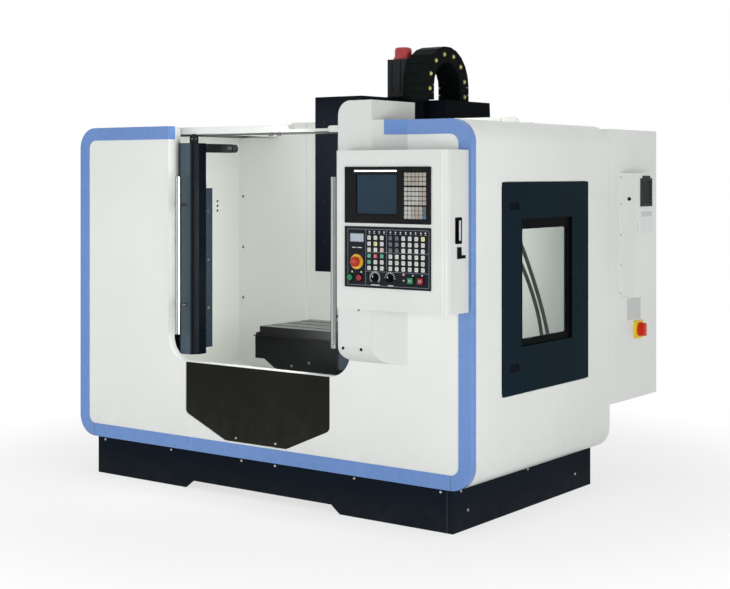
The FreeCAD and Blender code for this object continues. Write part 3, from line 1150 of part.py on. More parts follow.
def lock_outline(inset):
    """The lock cup's outline on the box's side, moved in by an inset."""
    half = LOCK_WIDE / 2 - inset
    return rectangle(LOCK_Y - half, LOCK_Y + half, LOCK_BOTTOM + inset, LOCK_TOP - inset, 2 * SKIN - inset)


def screen_unit():
    """Screen and keypad in one unit, let through the box's front."""
    face = BOX_FRONT - UNIT_PROUD
    bezel = prism(rectangle(UNIT_LEFT, UNIT_RIGHT, SCREEN_UNIT_BOTTOM, SCREEN_UNIT_TOP, SKIN), "xz", face,
                  BOX_FRONT)
    can = box(UNIT_LEFT + UNIT_LAP, UNIT_RIGHT - UNIT_LAP, BOX_FRONT, BOX_FRONT + UNIT_DEEP,
              SCREEN_UNIT_BOTTOM + UNIT_LAP, SCREEN_UNIT_TOP - UNIT_LAP)
    screen = rectangle(SCREEN_LEFT, SCREEN_RIGHT, SCREEN_BOTTOM, SCREEN_TOP, UNIT_PROUD)
    keypad = rectangle(KEYPAD_LEFT, KEYPAD_RIGHT, KEYPAD_BOTTOM, KEYPAD_TOP, KEYPAD_DEEP)
    unit = joined([bezel, can])
    unit = unit.cut(prism(screen, "xz", face - 1, face + SCREEN_DEEP))
    unit = unit.cut(prism(keypad, "xz", face - 1, face + KEYPAD_DEEP))
    gap = KEYPAD_GAP
    dx = (KEYPAD_RIGHT - KEYPAD_LEFT - 2 * KEYPAD_DEEP) / KEYPAD_COLUMNS
    dz = (KEYPAD_TOP - KEYPAD_BOTTOM - 2 * KEYPAD_DEEP) / KEYPAD_ROWS
    keys = []
    for i in range(KEYPAD_COLUMNS):
        for j in range(KEYPAD_ROWS):
            x = KEYPAD_LEFT + KEYPAD_DEEP + i * dx
            z = KEYPAD_BOTTOM + KEYPAD_DEEP + j * dz
            keys.append(box(x + gap, x + dx - gap, face - 1, face + KEYPAD_DEEP, z + gap, z + dz - gap))
    nodes["screen_unit"] = [joined([unit] + keys)]


def operator_panel():
    """Panel with rows of membrane keys and a hole for each control."""
    face = BOX_FRONT - UNIT_PROUD
    plate = prism(rectangle(UNIT_LEFT, UNIT_RIGHT, PANEL_BOTTOM, PANEL_TOP, SKIN), "xz", face, BOX_FRONT)
    can = box(UNIT_LEFT + UNIT_LAP, UNIT_RIGHT - UNIT_LAP, BOX_FRONT, BOX_FRONT + PANEL_DEEP,
              PANEL_BOTTOM + UNIT_LAP, PANEL_TOP - UNIT_LAP)
    ring = rod(ESTOP_RING_R, (ESTOP_X, face - ESTOP_RING, ESTOP_Z), (ESTOP_X, face + 1, ESTOP_Z))
    half = KEY_SIZE / 2
    keys = [box(x - half, x + half, face - KEY_HIGH, face + 1, z - half, z + half)
            for z in KEY_ROWS for x in KEY_COLS_LEFT + KEY_COLS_RIGHT]
    panel = joined([plate, can, ring] + keys)
    deep = face + BUTTON_DEEP + 2 * ESTOP_TRAVEL
    holes = [(ESTOP_X, ESTOP_Z, STEM_R)]
    holes += [(x, DIAL_Z, SHAFT_R) for x in DIALS_X]
    holes += [(x, ROUND_BUTTONS_Z, ROUND_BUTTON_R) for x in ROUND_BUTTONS_X]
    for x, z, radius in holes:
        panel = panel.cut(rod(radius + BUTTON_CLEAR, (x, face - 2 * ESTOP_RING, z), (x, deep, z)))
    half = SQUARE_BUTTON / 2 + BUTTON_CLEAR
    for x in SQUARE_BUTTONS_X:
        hole = rectangle(x - half, x + half, SQUARE_BUTTONS_Z - half, SQUARE_BUTTONS_Z + half,
                         BUTTON_EDGE)
        panel = panel.cut(prism(hole, "xz", face - 1, deep))
    nodes["operator_panel"] = [panel]


def controls():
    """Emergency stop, two dials, two round buttons and two square ones."""
    face = BOX_FRONT - UNIT_PROUD
    top = face - ESTOP_RING - ESTOP_HIGH
    brim = top + ESTOP_DOME
    stem = rod(STEM_R, (ESTOP_X, brim, ESTOP_Z), (ESTOP_X, face + BUTTON_DEEP, ESTOP_Z))
    cap = rod(ESTOP_R, (ESTOP_X, brim, ESTOP_Z), (ESTOP_X, brim + ESTOP_BRIM, ESTOP_Z))
    dome = Part.makeCone(ESTOP_R, ESTOP_TOP_R, ESTOP_DOME, FreeCAD.Vector(ESTOP_X, brim, ESTOP_Z),
                         FreeCAD.Vector(0, -1, 0))
    nodes["estop_button"] = [joined([stem, cap, dome])]
    for name, x in zip(("feed_dial", "mode_dial"), DIALS_X):
        shaft = rod(SHAFT_R, (x, face - 1, DIAL_Z), (x, face + BUTTON_DEEP, DIAL_Z))
        skirt = rod(DIAL_R, (x, face - DIAL_SKIRT, DIAL_Z), (x, face - CLEAR, DIAL_Z))
        knob = rod(DIAL_GRIP_R, (x, face - DIAL_HIGH, DIAL_Z), (x, face - 1, DIAL_Z))
        ridge = box(x - KEY_HIGH, x + KEY_HIGH, face - DIAL_HIGH - KEY_HIGH, face - DIAL_SKIRT,
                    DIAL_Z - KEY_HIGH, DIAL_Z + DIAL_R - KEY_HIGH)
        nodes[name] = [joined([shaft, skirt, knob, ridge])]
    top = face - BUTTON_HIGH
    for name, x in zip(("start_button", "stop_button"), ROUND_BUTTONS_X):
        body = rod(ROUND_BUTTON_R, (x, top, ROUND_BUTTONS_Z), (x, face + BUTTON_DEEP, ROUND_BUTTONS_Z))
        rim = [edge for edge in body.Edges if edge.BoundBox.YMax < top + 0.1]
        nodes[name] = [body.makeChamfer(BUTTON_EDGE, rim)]
    half = SQUARE_BUTTON / 2
    for name, x in zip(("cycle_start", "feed_hold"), SQUARE_BUTTONS_X):
        shape = rectangle(x - half, x + half, SQUARE_BUTTONS_Z - half, SQUARE_BUTTONS_Z + half,
                         BUTTON_EDGE)
        nodes[name] = [prism(shape, "xz", top, face + BUTTON_DEEP)]


def box_lock():
    """Cup and lift-out lever on the box's right side, and the hook below them."""
    half = LOCK_WIDE / 2
    x0 = BOX_RIGHT - LOCK_DEEP
    x1 = BOX_RIGHT + LOCK_RIM
    cup = prism(lock_outline(LOCK_LIP), "yz", x0, x1).fuse(prism(lock_outline(0), "yz", BOX_RIGHT, x1))
    tall = (LOCK_TOP - LOCK_BOTTOM) / 2 - 2 * SKIN
    middle = (LOCK_TOP + LOCK_BOTTOM) / 2
    wide = LEVER_WIDE / 2
    well = rectangle(LOCK_Y - half + SKIN, LEVER_Y + wide + LEVER_GAP, middle - tall, middle + tall, SKIN)
    nodes["lock_cup"] = [cup.cut(prism(well, "yz", x0 + SKIN, x1 + 1))]
    top = middle + tall - LEVER_SWING
    lever = rectangle(LEVER_Y - wide, LEVER_Y + wide, middle - tall + LEVER_SWING, top, SKIN)
    pin_x = x1 - LEVER_THICK / 2
    pin_z = top - LEVER_PIN_DOWN
    pin = rod(LEVER_PIN_R, (pin_x, LOCK_Y - half + SKIN + SLIDE_GAP, pin_z),
              (pin_x, LEVER_Y + wide + LEVER_GAP - SLIDE_GAP, pin_z))
    nodes["lock_lever"] = [joined([prism(lever, "yz", x1 - LEVER_THICK, x1), pin])]
    far = HOOK_Y + HOOK_FOOT
    hook = [(HOOK_Y, HOOK_BOTTOM), (far, HOOK_BOTTOM), (far, HOOK_BOTTOM + HOOK_BAR / 2, SKIN),
            (HOOK_Y + HOOK_BAR, HOOK_BOTTOM + HOOK_BAR / 2), (HOOK_Y + HOOK_BAR, HOOK_BOTTOM + HOOK_HIGH),
            (HOOK_Y, HOOK_BOTTOM + HOOK_HIGH)]
    nodes["box_hook"] = [prism(hook, "yz", BOX_RIGHT, BOX_RIGHT + 2 * SKIN)]


# ---- hoses -----------------------------------------------------------------------------------

def tube(points, radius):
    """Straight runs joined by tangent arcs, swept with a round section."""
    vectors = [FreeCAD.Vector(*point) for point in points]
    edges = []
    last = vectors[0]
    bends = []
    for before, here, after in zip(vectors, vectors[1:], vectors[2:]):
        back = before - here
        on = after - here
        reach = BEND_SHARE * min(back.Length, on.Length)
        back.normalize()
        on.normalize()
        half_angle = back.getAngle(on) / 2
        bend = reach * math.tan(half_angle)
        middle = (back + on).normalize()
        centre = here + middle * (bend / math.sin(half_angle))
        first = here + back * reach
        third = here + on * reach
        edges.append(Part.LineSegment(last, first).toShape())
        edges.append(Part.Arc(first, centre - middle * bend, third).toShape())
        bends.append(round(bend))
        last = third
    edges.append(Part.LineSegment(last, vectors[-1]).toShape())
    path = Part.Wire(edges)
    ring = Part.Wire([Part.Circle(vectors[0], vectors[1] - vectors[0], radius).toShape()])
    hose = path.makePipeShell([ring], True, False)
    share = hose.Volume / (math.pi * radius ** 2 * path.Length)
    print("hose bends", bends, "volume over section times length", round(share, 4))
    return hose


def hoses():
    """Two coolant hoses that hang from a manifold on the inner wall to a block on the tray."""
    near = HOSE_X - HOSE_STEP - 2 * HOSE_R
    wall = LINER - SHEET
    pairs = ((HOSE_X, HIGH_HOSE), (HOSE_X - HOSE_STEP, LOW_HOSE))
    routes = [[(x, y, z) for y, z in route] for x, route in pairs]
    nodes["coolant_hoses"] = [tube(route, HOSE_R) for route in routes]
    y0 = LOW_HOSE[0][0] - 2 * HOSE_R
    y1 = HIGH_HOSE[0][0] + 2 * HOSE_R
    manifold = box(near, wall, y0, y1, MANIFOLD_Z, MANIFOLD_Z + MANIFOLD_HIGH)
    slope = PAN_RISE / (wall - BED_HALF)
    far = HOSE_X + 2 * HOSE_R
    foot = [(near, PAN_LOW + (near - BED_HALF) * slope), (far, PAN_LOW + (far - BED_HALF) * slope),
            (far, PAN_BLOCK_TOP), (near, PAN_BLOCK_TOP)]
    block = prism(foot, "xz", LOW_HOSE[-1][0] - 2 * HOSE_R, HIGH_HOSE[-1][0] + 2 * HOSE_R)
    nodes["hose_blocks"] = [manifold, block]


def build():
    trim()
    front_panel()
    apron()
    housing()
    top_rail()
    plinth()
    bed()
    levelling_feet()
    chip_pan()
    column()
    table()
    saddle()
    saddle_guard()
    head()
    head_cover()
    spindle()
    feed_motor()
    drag_chain()
    cabinet()
    cooler()
    isolator()
    for side, door_back in (("left", LEFT_DOOR_BACK), ("right", SIDE_DOOR_BACK)):
        side_cover(side, door_back)
        liner(side, door_back)
        side_door(side, door_back)
        sliding_door(side)
    operator_box()
    screen_unit()
    operator_panel()
    controls()
    box_lock()
    hoses()


def export():
    os.makedirs("parts", exist_ok=True)
    for name, shapes in nodes.items():
        solids = []
        for shape in shapes:
            solids += [solid.copy() for solid in shape.Solids]
        for solid in solids:
            solid.translate(FreeCAD.Vector(X_SHIFT, Y_SHIFT, 0))
        whole = solids[0] if len(solids) == 1 else Part.makeCompound(solids)
        whole.exportStep("parts/" + name + ".step")
        low = whole.BoundBox
        extent = [round(value) for value in (low.XMin, low.XMax, low.YMin, low.YMax, low.ZMin, low.ZMax)]
        print(name, len(solids), whole.isValid(), extent)


build()
export()
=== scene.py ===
import math

import bmesh
import bpy
from mathutils import Matrix, Vector


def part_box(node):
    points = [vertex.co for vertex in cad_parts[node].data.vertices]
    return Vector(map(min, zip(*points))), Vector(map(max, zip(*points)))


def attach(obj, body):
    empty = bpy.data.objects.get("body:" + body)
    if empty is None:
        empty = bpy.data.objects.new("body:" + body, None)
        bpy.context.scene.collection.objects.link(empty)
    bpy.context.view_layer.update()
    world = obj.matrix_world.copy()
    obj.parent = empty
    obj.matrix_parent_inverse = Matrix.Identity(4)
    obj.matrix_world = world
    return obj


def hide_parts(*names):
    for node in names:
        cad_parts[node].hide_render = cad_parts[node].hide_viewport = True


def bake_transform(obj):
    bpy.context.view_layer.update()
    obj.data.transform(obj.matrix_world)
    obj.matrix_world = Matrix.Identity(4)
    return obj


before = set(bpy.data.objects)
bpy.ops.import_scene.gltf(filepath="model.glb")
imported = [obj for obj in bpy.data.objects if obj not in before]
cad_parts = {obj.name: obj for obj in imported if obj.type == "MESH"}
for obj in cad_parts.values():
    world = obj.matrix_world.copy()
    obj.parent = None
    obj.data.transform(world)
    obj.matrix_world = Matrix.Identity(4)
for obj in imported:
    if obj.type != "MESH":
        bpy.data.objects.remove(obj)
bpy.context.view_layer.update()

# Sizes are in millimetres of the machine's own axes: X from its centre plane, Y back from the
# enclosure's front, Z up from the floor. TO_FRAME takes them to the frame's metres.
CENTRE_X = 42.0
CENTRE_Y = 799.0
TO_FRAME = Matrix.Scale(0.001, 4) @ Matrix.Translation((-CENTRE_X, -CENTRE_Y, 0))

# ---- sizes shared with the machine ----
HALF = 1200.0            # enclosure's side
UNIT_FACE = -176.0       # front of the screen unit and the operator panel
HOUSING_FACE = -85.0
BOX_FACE = -170.0
BOX_SIDE = 1187.0
LEVER_SIDE = 1189.0
PLINTH_FACE = 25.0
PLINTH_SIDE = 1091.0
APRON_FACE = 6.0
GUARD_FACE = 542.0
HEAD_FACE = 640.0
DOORWAY_X = -6.0
CHAIN_SIDES = (88.0, 230.0)
CHAIN_CENTRE = (1296.0, 2010.0)
CHAIN_R = 169.0
CHAIN_LINKS = 6
COOLER_SIDE = 1282.0
DOOR_SKIN = 1.2025       # metres from the centre plane; deeper parts of a side door are painted near black as shade
DOOR_SIDE = 1203.0
BOW_BACK = -0.715        # metres; how far back the bow of a sliding door's edge reaches
EDGE_BACK = -0.6655      # and the back of that edge
TABLE_TOP = 0.748        # metres; the ground face lies above, paint below
SIDE_DOOR = (248.0, 567.0, 1504.0)            # front, bottom and top of both side doors
SIDE_DOOR_BACKS = {"right": 1041.0, "left": 900.0}
SIDE_DOOR_R = 26.0
RAIL_END = 1130.0
RAIL_STEP = 127.0        # where the deep channel ends
RAIL_BOTTOM = 1739.0
RAIL_TOP = 1772.0
TRACK_TOP = 1751.0       # of the low track on the right
RAIL_FRONT = 98.0
RAIL_BACK = 136.0
SHEET = 3.0
RAIL_STOPS = (-28.0, 20.0)
MOTOR_CAP = (10.0, 1200.0, 2153.0)
DIAL_Z = 1097.0
DIALS_X = (826.0, 904.0)
ROUND_BUTTONS_X = (694.0, 744.0)
ROUND_BUTTONS_Z = 1094.0
SQUARE_BUTTONS_X = (1012.0, 1063.0)
SQUARE_BUTTONS_Z = 1092.0
ESTOP = (729.0, 1163.0)
KEY_ROWS = (1268.0, 1242.0, 1216.5, 1190.0, 1164.0, 1138.5)
KEY_COLUMNS = (797.0, 830.5, 864.0, 909.0, 942.0, 975.5, 1008.5, 1042.0, 1075.0)
SCREEN = (726.0, 939.0, 1369.0, 1538.0)
SUNK = -0.2              # marks and plates start this far inside the face they sit on


def add_object(name, data):
    made = bpy.data.objects.new(name, data)
    bpy.context.scene.collection.objects.link(made)
    return made


# ---- shader helpers ----
# A socket knows its tree, so the helpers put each new node where its first socket is.

def srgb(red, green, blue):
    """A colour as a picture shows it, 0 to 255, made linear."""
    parts = [part / 255 for part in (red, green, blue)]
    return (*(part / 12.92 if part <= 0.04045 else ((part + 0.055) / 1.055) ** 2.4 for part in parts), 1.0)


def node(tree, kind, inputs=(), **settings):
    """A new node; its inputs take values or other nodes' sockets."""
    made = tree.nodes.new(kind)
    for name, value in settings.items():
        setattr(made, name, value)
    for key, value in dict(inputs).items():
        if isinstance(value, bpy.types.NodeSocket):
            tree.links.new(value, made.inputs[key])
        else:
            made.inputs[key].default_value = value
    return made


def node_group(name, kind, inputs, outputs):
    """An empty group whose sockets have a kind or a first value; gives the tree and both its ends."""
    tree = bpy.data.node_groups.new(name, kind)
    for label, value in inputs.items():
        socket_type = value if isinstance(value, str) else type(value).__name__.capitalize()
        socket = tree.interface.new_socket(label, in_out="INPUT", socket_type="NodeSocket" + socket_type)
        if value is not socket_type:
            socket.default_value = value
    for label, socket_type in outputs.items():
        tree.interface.new_socket(label, in_out="OUTPUT", socket_type="NodeSocket" + socket_type)
    return tree, tree.nodes.new("NodeGroupInput").outputs, tree.nodes.new("NodeGroupOutput").inputs


def skin_group(name, second, values, plain=()):
    """A shader group: a place and two colours in, a colour and plain values out."""
    inputs = {"Vector": "Vector", "Colour": "Color", second: "Color", **values}
    return node_group(name, "ShaderNodeTree", inputs, {"Colour": "Color", **dict.fromkeys(plain, "Float")})


def plug(value, socket):
    value.id_data.links.new(value, socket)


def end_group(tree, sink, **values):
    for key, value in values.items():
        plug(value, sink[key])
    return tree


def noise(vector, scale, detail=2.0, rough=0.5):
    sockets = {"Vector": vector, "Scale": scale, "Detail": detail, "Roughness": rough}
    return node(vector.id_data, "ShaderNodeTexNoise", sockets).outputs["Fac"]


def ramp(value, low, high, to_low=0.0, to_high=1.0, smooth=False):
    sockets = {"Value": value, "From Min": low, "From Max": high, "To Min": to_low, "To Max": to_high}
    kind = "SMOOTHSTEP" if smooth else "LINEAR"
    return node(value.id_data, "ShaderNodeMapRange", sockets, interpolation_type=kind).outputs["Result"]


def blend_colours(share, first, second):
    mixed = node(share.id_data, "ShaderNodeMix", {0: share, 6: first, 7: second}, data_type="RGBA")
    return mixed.outputs[2]


def reckon(operation, first, second=0.5):
    return node(first.id_data, "ShaderNodeMath", {0: first, 1: second}, operation=operation).outputs[0]


def multiply(first, second):
    return reckon("MULTIPLY", first, second)


def axis_of(vector, axis):
    return node(vector.id_data, "ShaderNodeSeparateXYZ", {0: vector}).outputs[axis]


def facing_along(shader, axis):
    """How far the surface faces along an axis."""
    return axis_of(node(shader.id_data, "ShaderNodeNewGeometry").outputs["Normal"], axis)


def sprayed_coat():
    """Sprayed paint: slow clouds of shade, orange peel and uneven gloss."""
    tree, source, sink = skin_group("Sprayed coat", "Shade", {
        "Cloud Size": 2.0, "Cloud Strength": 0.6, "Peel Size": 400.0, "Smooth": 0.3, "Rough": 0.4},
        ("Roughness", "Height"))
    place = source["Vector"]
    clouds = ramp(noise(place, source["Cloud Size"], 3.0), 0.35, 0.7, smooth=True)
    share = multiply(clouds, source["Cloud Strength"])
    gloss = ramp(noise(place, 9.0, 4.0), 0.3, 0.7, source["Smooth"], source["Rough"])
    return end_group(tree, sink, Colour=blend_colours(share, source["Colour"], source["Shade"]),
                     Roughness=gloss, Height=noise(place, source["Peel Size"], 1.0))


def settled_dust():
    """Dust and splashes that thicken towards the floor."""
    tree, source, sink = skin_group("Settled dust", "Dust", {"Reach": 0.25, "Amount": 0.5})
    place = source["Vector"]
    low = ramp(axis_of(place, "Z"), 0.0, source["Reach"], 1.0, 0.0, True)
    patches = ramp(noise(place, 14.0, 5.0, 0.6), 0.35, 0.75, 0.25, 1.0)
    mask = multiply(multiply(low, patches), source["Amount"])
    return end_group(tree, sink, Colour=blend_colours(mask, source["Colour"], source["Dust"]))


def light_scuffs():
    """Short, thin rub marks that catch the light."""
    tree, source, sink = skin_group("Light scuffs", "Bare", {"Size": 30.0, "Amount": 0.3})
    place = source["Vector"]
    squeezed = node(tree, "ShaderNodeMapping", {"Vector": place, "Scale": (1.0, 1.0, 9.0),
                                                "Rotation": (0.35, 0.2, 0.0)}).outputs["Vector"]
    streaks = ramp(noise(squeezed, source["Size"], 5.0, 0.7), 0.66, 0.74)
    regions = ramp(noise(place, 5.0, 2.0), 0.45, 0.65, smooth=True)
    mask = multiply(multiply(streaks, regions), source["Amount"])
    return end_group(tree, sink, Colour=blend_colours(mask, source["Colour"], source["Bare"]))


def machined_lay():
    """Fine parallel tool marks on bare metal; the vector comes in stretched along them."""
    tree, source, sink = skin_group("Machined lay", "Dark", {
        "Fineness": 6.0, "Smooth": 0.22, "Rough": 0.42}, ("Roughness", "Height"))
    place = source["Vector"]
    lines = noise(place, source["Fineness"], 6.0, 0.65)
    stains = ramp(noise(place, 2.5, 3.0), 0.4, 0.75, 0.0, 0.55, True)
    return end_group(tree, sink, Colour=blend_colours(stains, source["Colour"], source["Dark"]),
                     Roughness=ramp(lines, 0.3, 0.7, source["Smooth"], source["Rough"]), Height=lines)


def moulded_grain():
    """Moulded plastic or rubber: a fine pebbled skin with slight shade changes."""
    tree, source, sink = skin_group("Moulded grain", "Shade", {
        "Grain Size": 900.0, "Smooth": 0.35, "Rough": 0.5}, ("Roughness", "Height"))
    place = source["Vector"]
    pebbles = node(tree, "ShaderNodeTexVoronoi", {"Vector": place, "Scale": source["Grain Size"]})
    tone = ramp(noise(place, 25.0, 3.0), 0.3, 0.7, 0.0, 0.8, True)
    gloss = ramp(noise(place, 60.0, 3.0), 0.3, 0.7, source["Smooth"], source["Rough"])
    return end_group(tree, sink, Colour=blend_colours(tone, source["Colour"], source["Shade"]),
                     Roughness=gloss, Height=pebbles.outputs["Distance"])


COAT = sprayed_coat()
DUST = settled_dust()
SCUFFS = light_scuffs()
LAY = machined_lay()
GRAIN = moulded_grain()
DUST_COLOUR = (120, 116, 108)
RUBBED_PAINT = (120, 124, 128)
RUBBED_PLASTIC = (150, 152, 154)
PAINT_RELIEF = 0.0004    # metres
FINE_RELIEF = 0.0002
MATT = 0.01              # dark paints mirror the backdrop less than bare plastic
FINISH = {}


def new_material(name, gleam=0.5, **values):
    """A material with its own surface shader; values are set on the shader's sockets."""
    made = FINISH[name] = bpy.data.materials.new(name)
    made.use_nodes = True
    tree = made.node_tree
    shader = tree.nodes["Principled BSDF"]
    shader.inputs["Specular IOR Level"].default_value = gleam
    for key, value in values.items():
        shader.inputs[key.replace("_", " ")].default_value = value
    return shader, tree.nodes.new("ShaderNodeTexCoord").outputs["Object"]


def placed_skin(group, place, colour, second, **values):
    """A skin group put in a material; a colour is a triple or comes from another node."""
    first, other = (srgb(*part) if isinstance(part, tuple) else part for part in (colour, second))
    inputs = {key.replace("_", " "): value for key, value in values.items()}
    sockets = {0: place, 1: first, 2: other, **inputs}
    return node(place.id_data, "ShaderNodeGroup", sockets, node_tree=group).outputs


def drawn_lay(place, colour, dark, along, smooth, rough):
    """Tool marks along one axis."""
    stretch = [1.0 if axis == along else 30.0 for axis in "XYZ"]
    drawn = node(place.id_data, "ShaderNodeMapping", {"Vector": place, "Scale": stretch}).outputs["Vector"]
    return placed_skin(LAY, drawn, colour, dark, Smooth=smooth, Rough=rough)


def cover(shader, colour, skin, relief, strength):
    """Colour, gloss and relief on a material's surface."""
    sockets = {"Height": skin["Height"], "Distance": relief, "Strength": strength}
    bump = node(shader.id_data, "ShaderNodeBump", sockets).outputs[0]
    for key, value in (("Base Color", colour), ("Roughness", skin["Roughness"]), ("Normal", bump)):
        plug(value, shader.inputs[key])


def painted(name, colour, shade, smooth=0.28, rough=0.4, peel=380.0, cloud=1.6, dust=0.0, reach=0.25,
            scuffs=0.0, gleam=0.5):
    """Paint on sheet or casting, with dust and scuffs where they are asked for."""
    shader, place = new_material(name, gleam)
    coat = placed_skin(COAT, place, colour, shade, Cloud_Size=cloud, Peel_Size=peel, Smooth=smooth,
                       Rough=rough)
    tint = coat["Colour"]
    if scuffs:
        tint = placed_skin(SCUFFS, place, tint, RUBBED_PAINT, Amount=scuffs)["Colour"]
    if dust:
        tint = placed_skin(DUST, place, tint, DUST_COLOUR, Reach=reach, Amount=dust)["Colour"]
    cover(shader, tint, coat, PAINT_RELIEF, 0.18)


def bare_metal(name, colour, dark, along, smooth=0.2, rough=0.4):
    """Ground, turned or brushed metal with its marks along one axis."""
    shader, place = new_material(name, Metallic=1.0)
    lay = drawn_lay(place, colour, dark, along, smooth, rough)
    cover(shader, lay["Colour"], lay, FINE_RELIEF, 0.15)


def moulded(name, colour, shade, smooth=0.32, rough=0.48, bump=0.2, grain=900.0, scuffs=0.0, gleam=0.5):
    """Plastic or rubber with a moulded skin."""
    shader, place = new_material(name, gleam)
    skin = placed_skin(GRAIN, place, colour, shade, Grain_Size=grain, Smooth=smooth, Rough=rough)
    tint = skin["Colour"]
    if scuffs:
        tint = placed_skin(SCUFFS, place, tint, RUBBED_PLASTIC, Size=60.0, Amount=scuffs)["Colour"]
    cover(shader, tint, skin, FINE_RELIEF, bump)


def table_iron():
    """Cast iron table: ground bare on top, dark paint on its sides and in its slots."""
    shader, place = new_material("table iron")
    lay = drawn_lay(place, (126, 128, 124), (96, 98, 96), "X", 0.24, 0.42)
    coat = placed_skin(COAT, place, (26, 27, 28), (36, 36, 36), Smooth=0.3, Rough=0.45)
    top = multiply(ramp(facing_along(shader, "Z"), 0.9, 0.95),
                   ramp(axis_of(place, "Z"), TABLE_TOP - 0.003, TABLE_TOP))
    gloss = ramp(top, 0.0, 1.0, coat["Roughness"], lay["Roughness"])
    plug(multiply(top, 0.85), shader.inputs["Metallic"])
    cover(shader, blend_colours(top, coat["Colour"], lay["Colour"]),
          {"Roughness": gloss, "Height": coat["Height"]}, PAINT_RELIEF, 0.2)


def sliding_door_paint():
    """Charcoal door paint, with a painted highlight on the bowed front edge and painted shade where that edge
    turns back.
    """
    shader, place = new_material("door charcoal", 0.06)
    coat = placed_skin(COAT, place, (40, 48, 55), (45, 54, 61), Cloud_Size=1.6, Smooth=0.24, Rough=0.36)
    turned_away = reckon("ABSOLUTE", facing_along(shader, "X"))
    depth = axis_of(place, "Y")
    # painted shade: faces of the edge that turn to the side go near black (10, 15, 21)
    edge = multiply(ramp(turned_away, 0.35, 0.6, smooth=True),
                    ramp(depth, EDGE_BACK, EDGE_BACK + 0.001, 1.0, 0.0))
    # painted highlight: front faces of the bow go lighter (70, 82, 92)
    painted_highlight_bow = multiply(ramp(turned_away, 0.2, 0.5, 1.0, 0.0, True),
                   ramp(depth, BOW_BACK, BOW_BACK + 0.001, 1.0, 0.0))
    face = blend_colours(painted_highlight_bow, coat["Colour"], srgb(70, 82, 92))
    cover(shader, blend_colours(edge, face, srgb(10, 15, 21)), coat, PAINT_RELIEF, 0.18)


def side_door_paint():
    """Navy door paint, with painted shade: near black in the recess round the window and in the gaps."""
    shader, place = new_material("door navy", MATT)
    coat = placed_skin(COAT, place, (15, 30, 39), (18, 35, 45), Cloud_Size=1.6, Smooth=0.24, Rough=0.38)
    side = reckon("ABSOLUTE", reckon("ADD", axis_of(place, "X"), CENTRE_X / 1000))
    # painted shade: every face deeper than the skin goes near black (10, 12, 14)
    painted_shade_deep = ramp(side, DOOR_SKIN - 0.001, DOOR_SKIN, 1.0, 0.0)
    cover(shader, blend_colours(painted_shade_deep, coat["Colour"], srgb(10, 12, 14)), coat, PAINT_RELIEF, 0.18)


def banded_chrome():
    """Polished tube with a painted reflection: darker along the side turned to the left."""
    shader, place = new_material("chrome", Metallic=1.0)
    lay = drawn_lay(place, (222, 224, 226), (206, 209, 212), "Z", 0.08, 0.16)
    # painted reflection: faces turned to the left go dark grey (112, 116, 116)
    painted_reflection_band = ramp(facing_along(shader, "X"), 0.5, 0.78, 1.0, 0.0, True)
    cover(shader, blend_colours(painted_reflection_band, lay["Colour"], srgb(112, 116, 116)), lay, FINE_RELIEF, 0.1)


def pane_glass():
    """Clear pane with a breath of haze on it."""
    shader, place = new_material("pane glass", Transmission_Weight=1.0, IOR=1.18,
                                       Base_Color=srgb(206, 213, 210))
    haze = ramp(noise(place, 6.0, 4.0), 0.35, 0.75, 0.02, 0.06)
    plug(haze, shader.inputs["Roughness"])


def dark_screen():
    """Unlit flat screen behind glass: blue-grey, lighter towards the top as a painted reflection, with faint
    rows.
    """
    shader, place = new_material("dark screen", 0.04)
    # painted reflection: the colour lightens from the bottom to the top of the screen
    painted_reflection_fade = ramp(axis_of(place, "Z"), SCREEN[2] / 1000, SCREEN[3] / 1000)
    colour = blend_colours(painted_reflection_fade, srgb(32, 52, 66), srgb(38, 58, 73))
    rows = node(place.id_data, "ShaderNodeTexWave", {"Vector": place, "Scale": 180.0}, bands_direction="Z")
    clouds = ramp(noise(place, 18.0, 3.0), 0.3, 0.7, 0.0, 0.35)
    plug(blend_colours(clouds, colour, srgb(29, 46, 60)), shader.inputs["Base Color"])
    plug(ramp(rows.outputs["Fac"], 0.0, 1.0, 0.2, 0.26), shader.inputs["Roughness"])


painted("shell white", (226, 228, 224), (219, 222, 217), dust=0.25, reach=0.5)
painted("inner white", (226, 229, 223), (223, 226, 220), smooth=0.36, cloud=0.8, dust=0.06, reach=0.6,
        gleam=0.25)
painted("box white", (212, 214, 210), (206, 208, 204), peel=500.0, cloud=4.0)
painted("band blue", (108, 143, 200), (99, 134, 192), 0.2, 0.34, dust=0.2, reach=0.35, gleam=0.2)
painted("plinth navy", (18, 25, 32), (23, 30, 39), 0.3, 0.5, dust=0.06, reach=0.16, scuffs=0.05, gleam=MATT)
painted("head navy", (9, 12, 17), (13, 16, 21), 0.26, 0.42, peel=260.0, scuffs=0.04, gleam=MATT)
painted("apron black", (30, 30, 27), (35, 35, 32), 0.42, 0.6, dust=0.12, reach=0.7, scuffs=0.12, gleam=MATT)
painted("motor black", (30, 34, 38), (35, 39, 42), 0.22, 0.34, gleam=0.08)
painted("guard black", (24, 26, 26), (30, 31, 32), 0.3, 0.5, scuffs=0.15, gleam=0.2)
painted("cast grey", (92, 98, 96), (80, 86, 85), 0.45, 0.65, peel=150.0, dust=0.4, reach=0.4)
painted("saddle iron", (40, 44, 48), (48, 52, 56), 0.4, 0.6, peel=150.0)
painted("rod steel", (92, 94, 92), (84, 86, 84), 0.3, 0.45, gleam=0.2)
painted("plate grey", (196, 198, 196), (186, 188, 186), peel=700.0)
side_door_paint()
sliding_door_paint()
table_iron()
banded_chrome()
pane_glass()
dark_screen()
bare_metal("bright steel", (196, 198, 200), (150, 152, 156), "Z")
bare_metal("rail steel", (150, 152, 152), (96, 98, 100), "X", 0.25, 0.45)
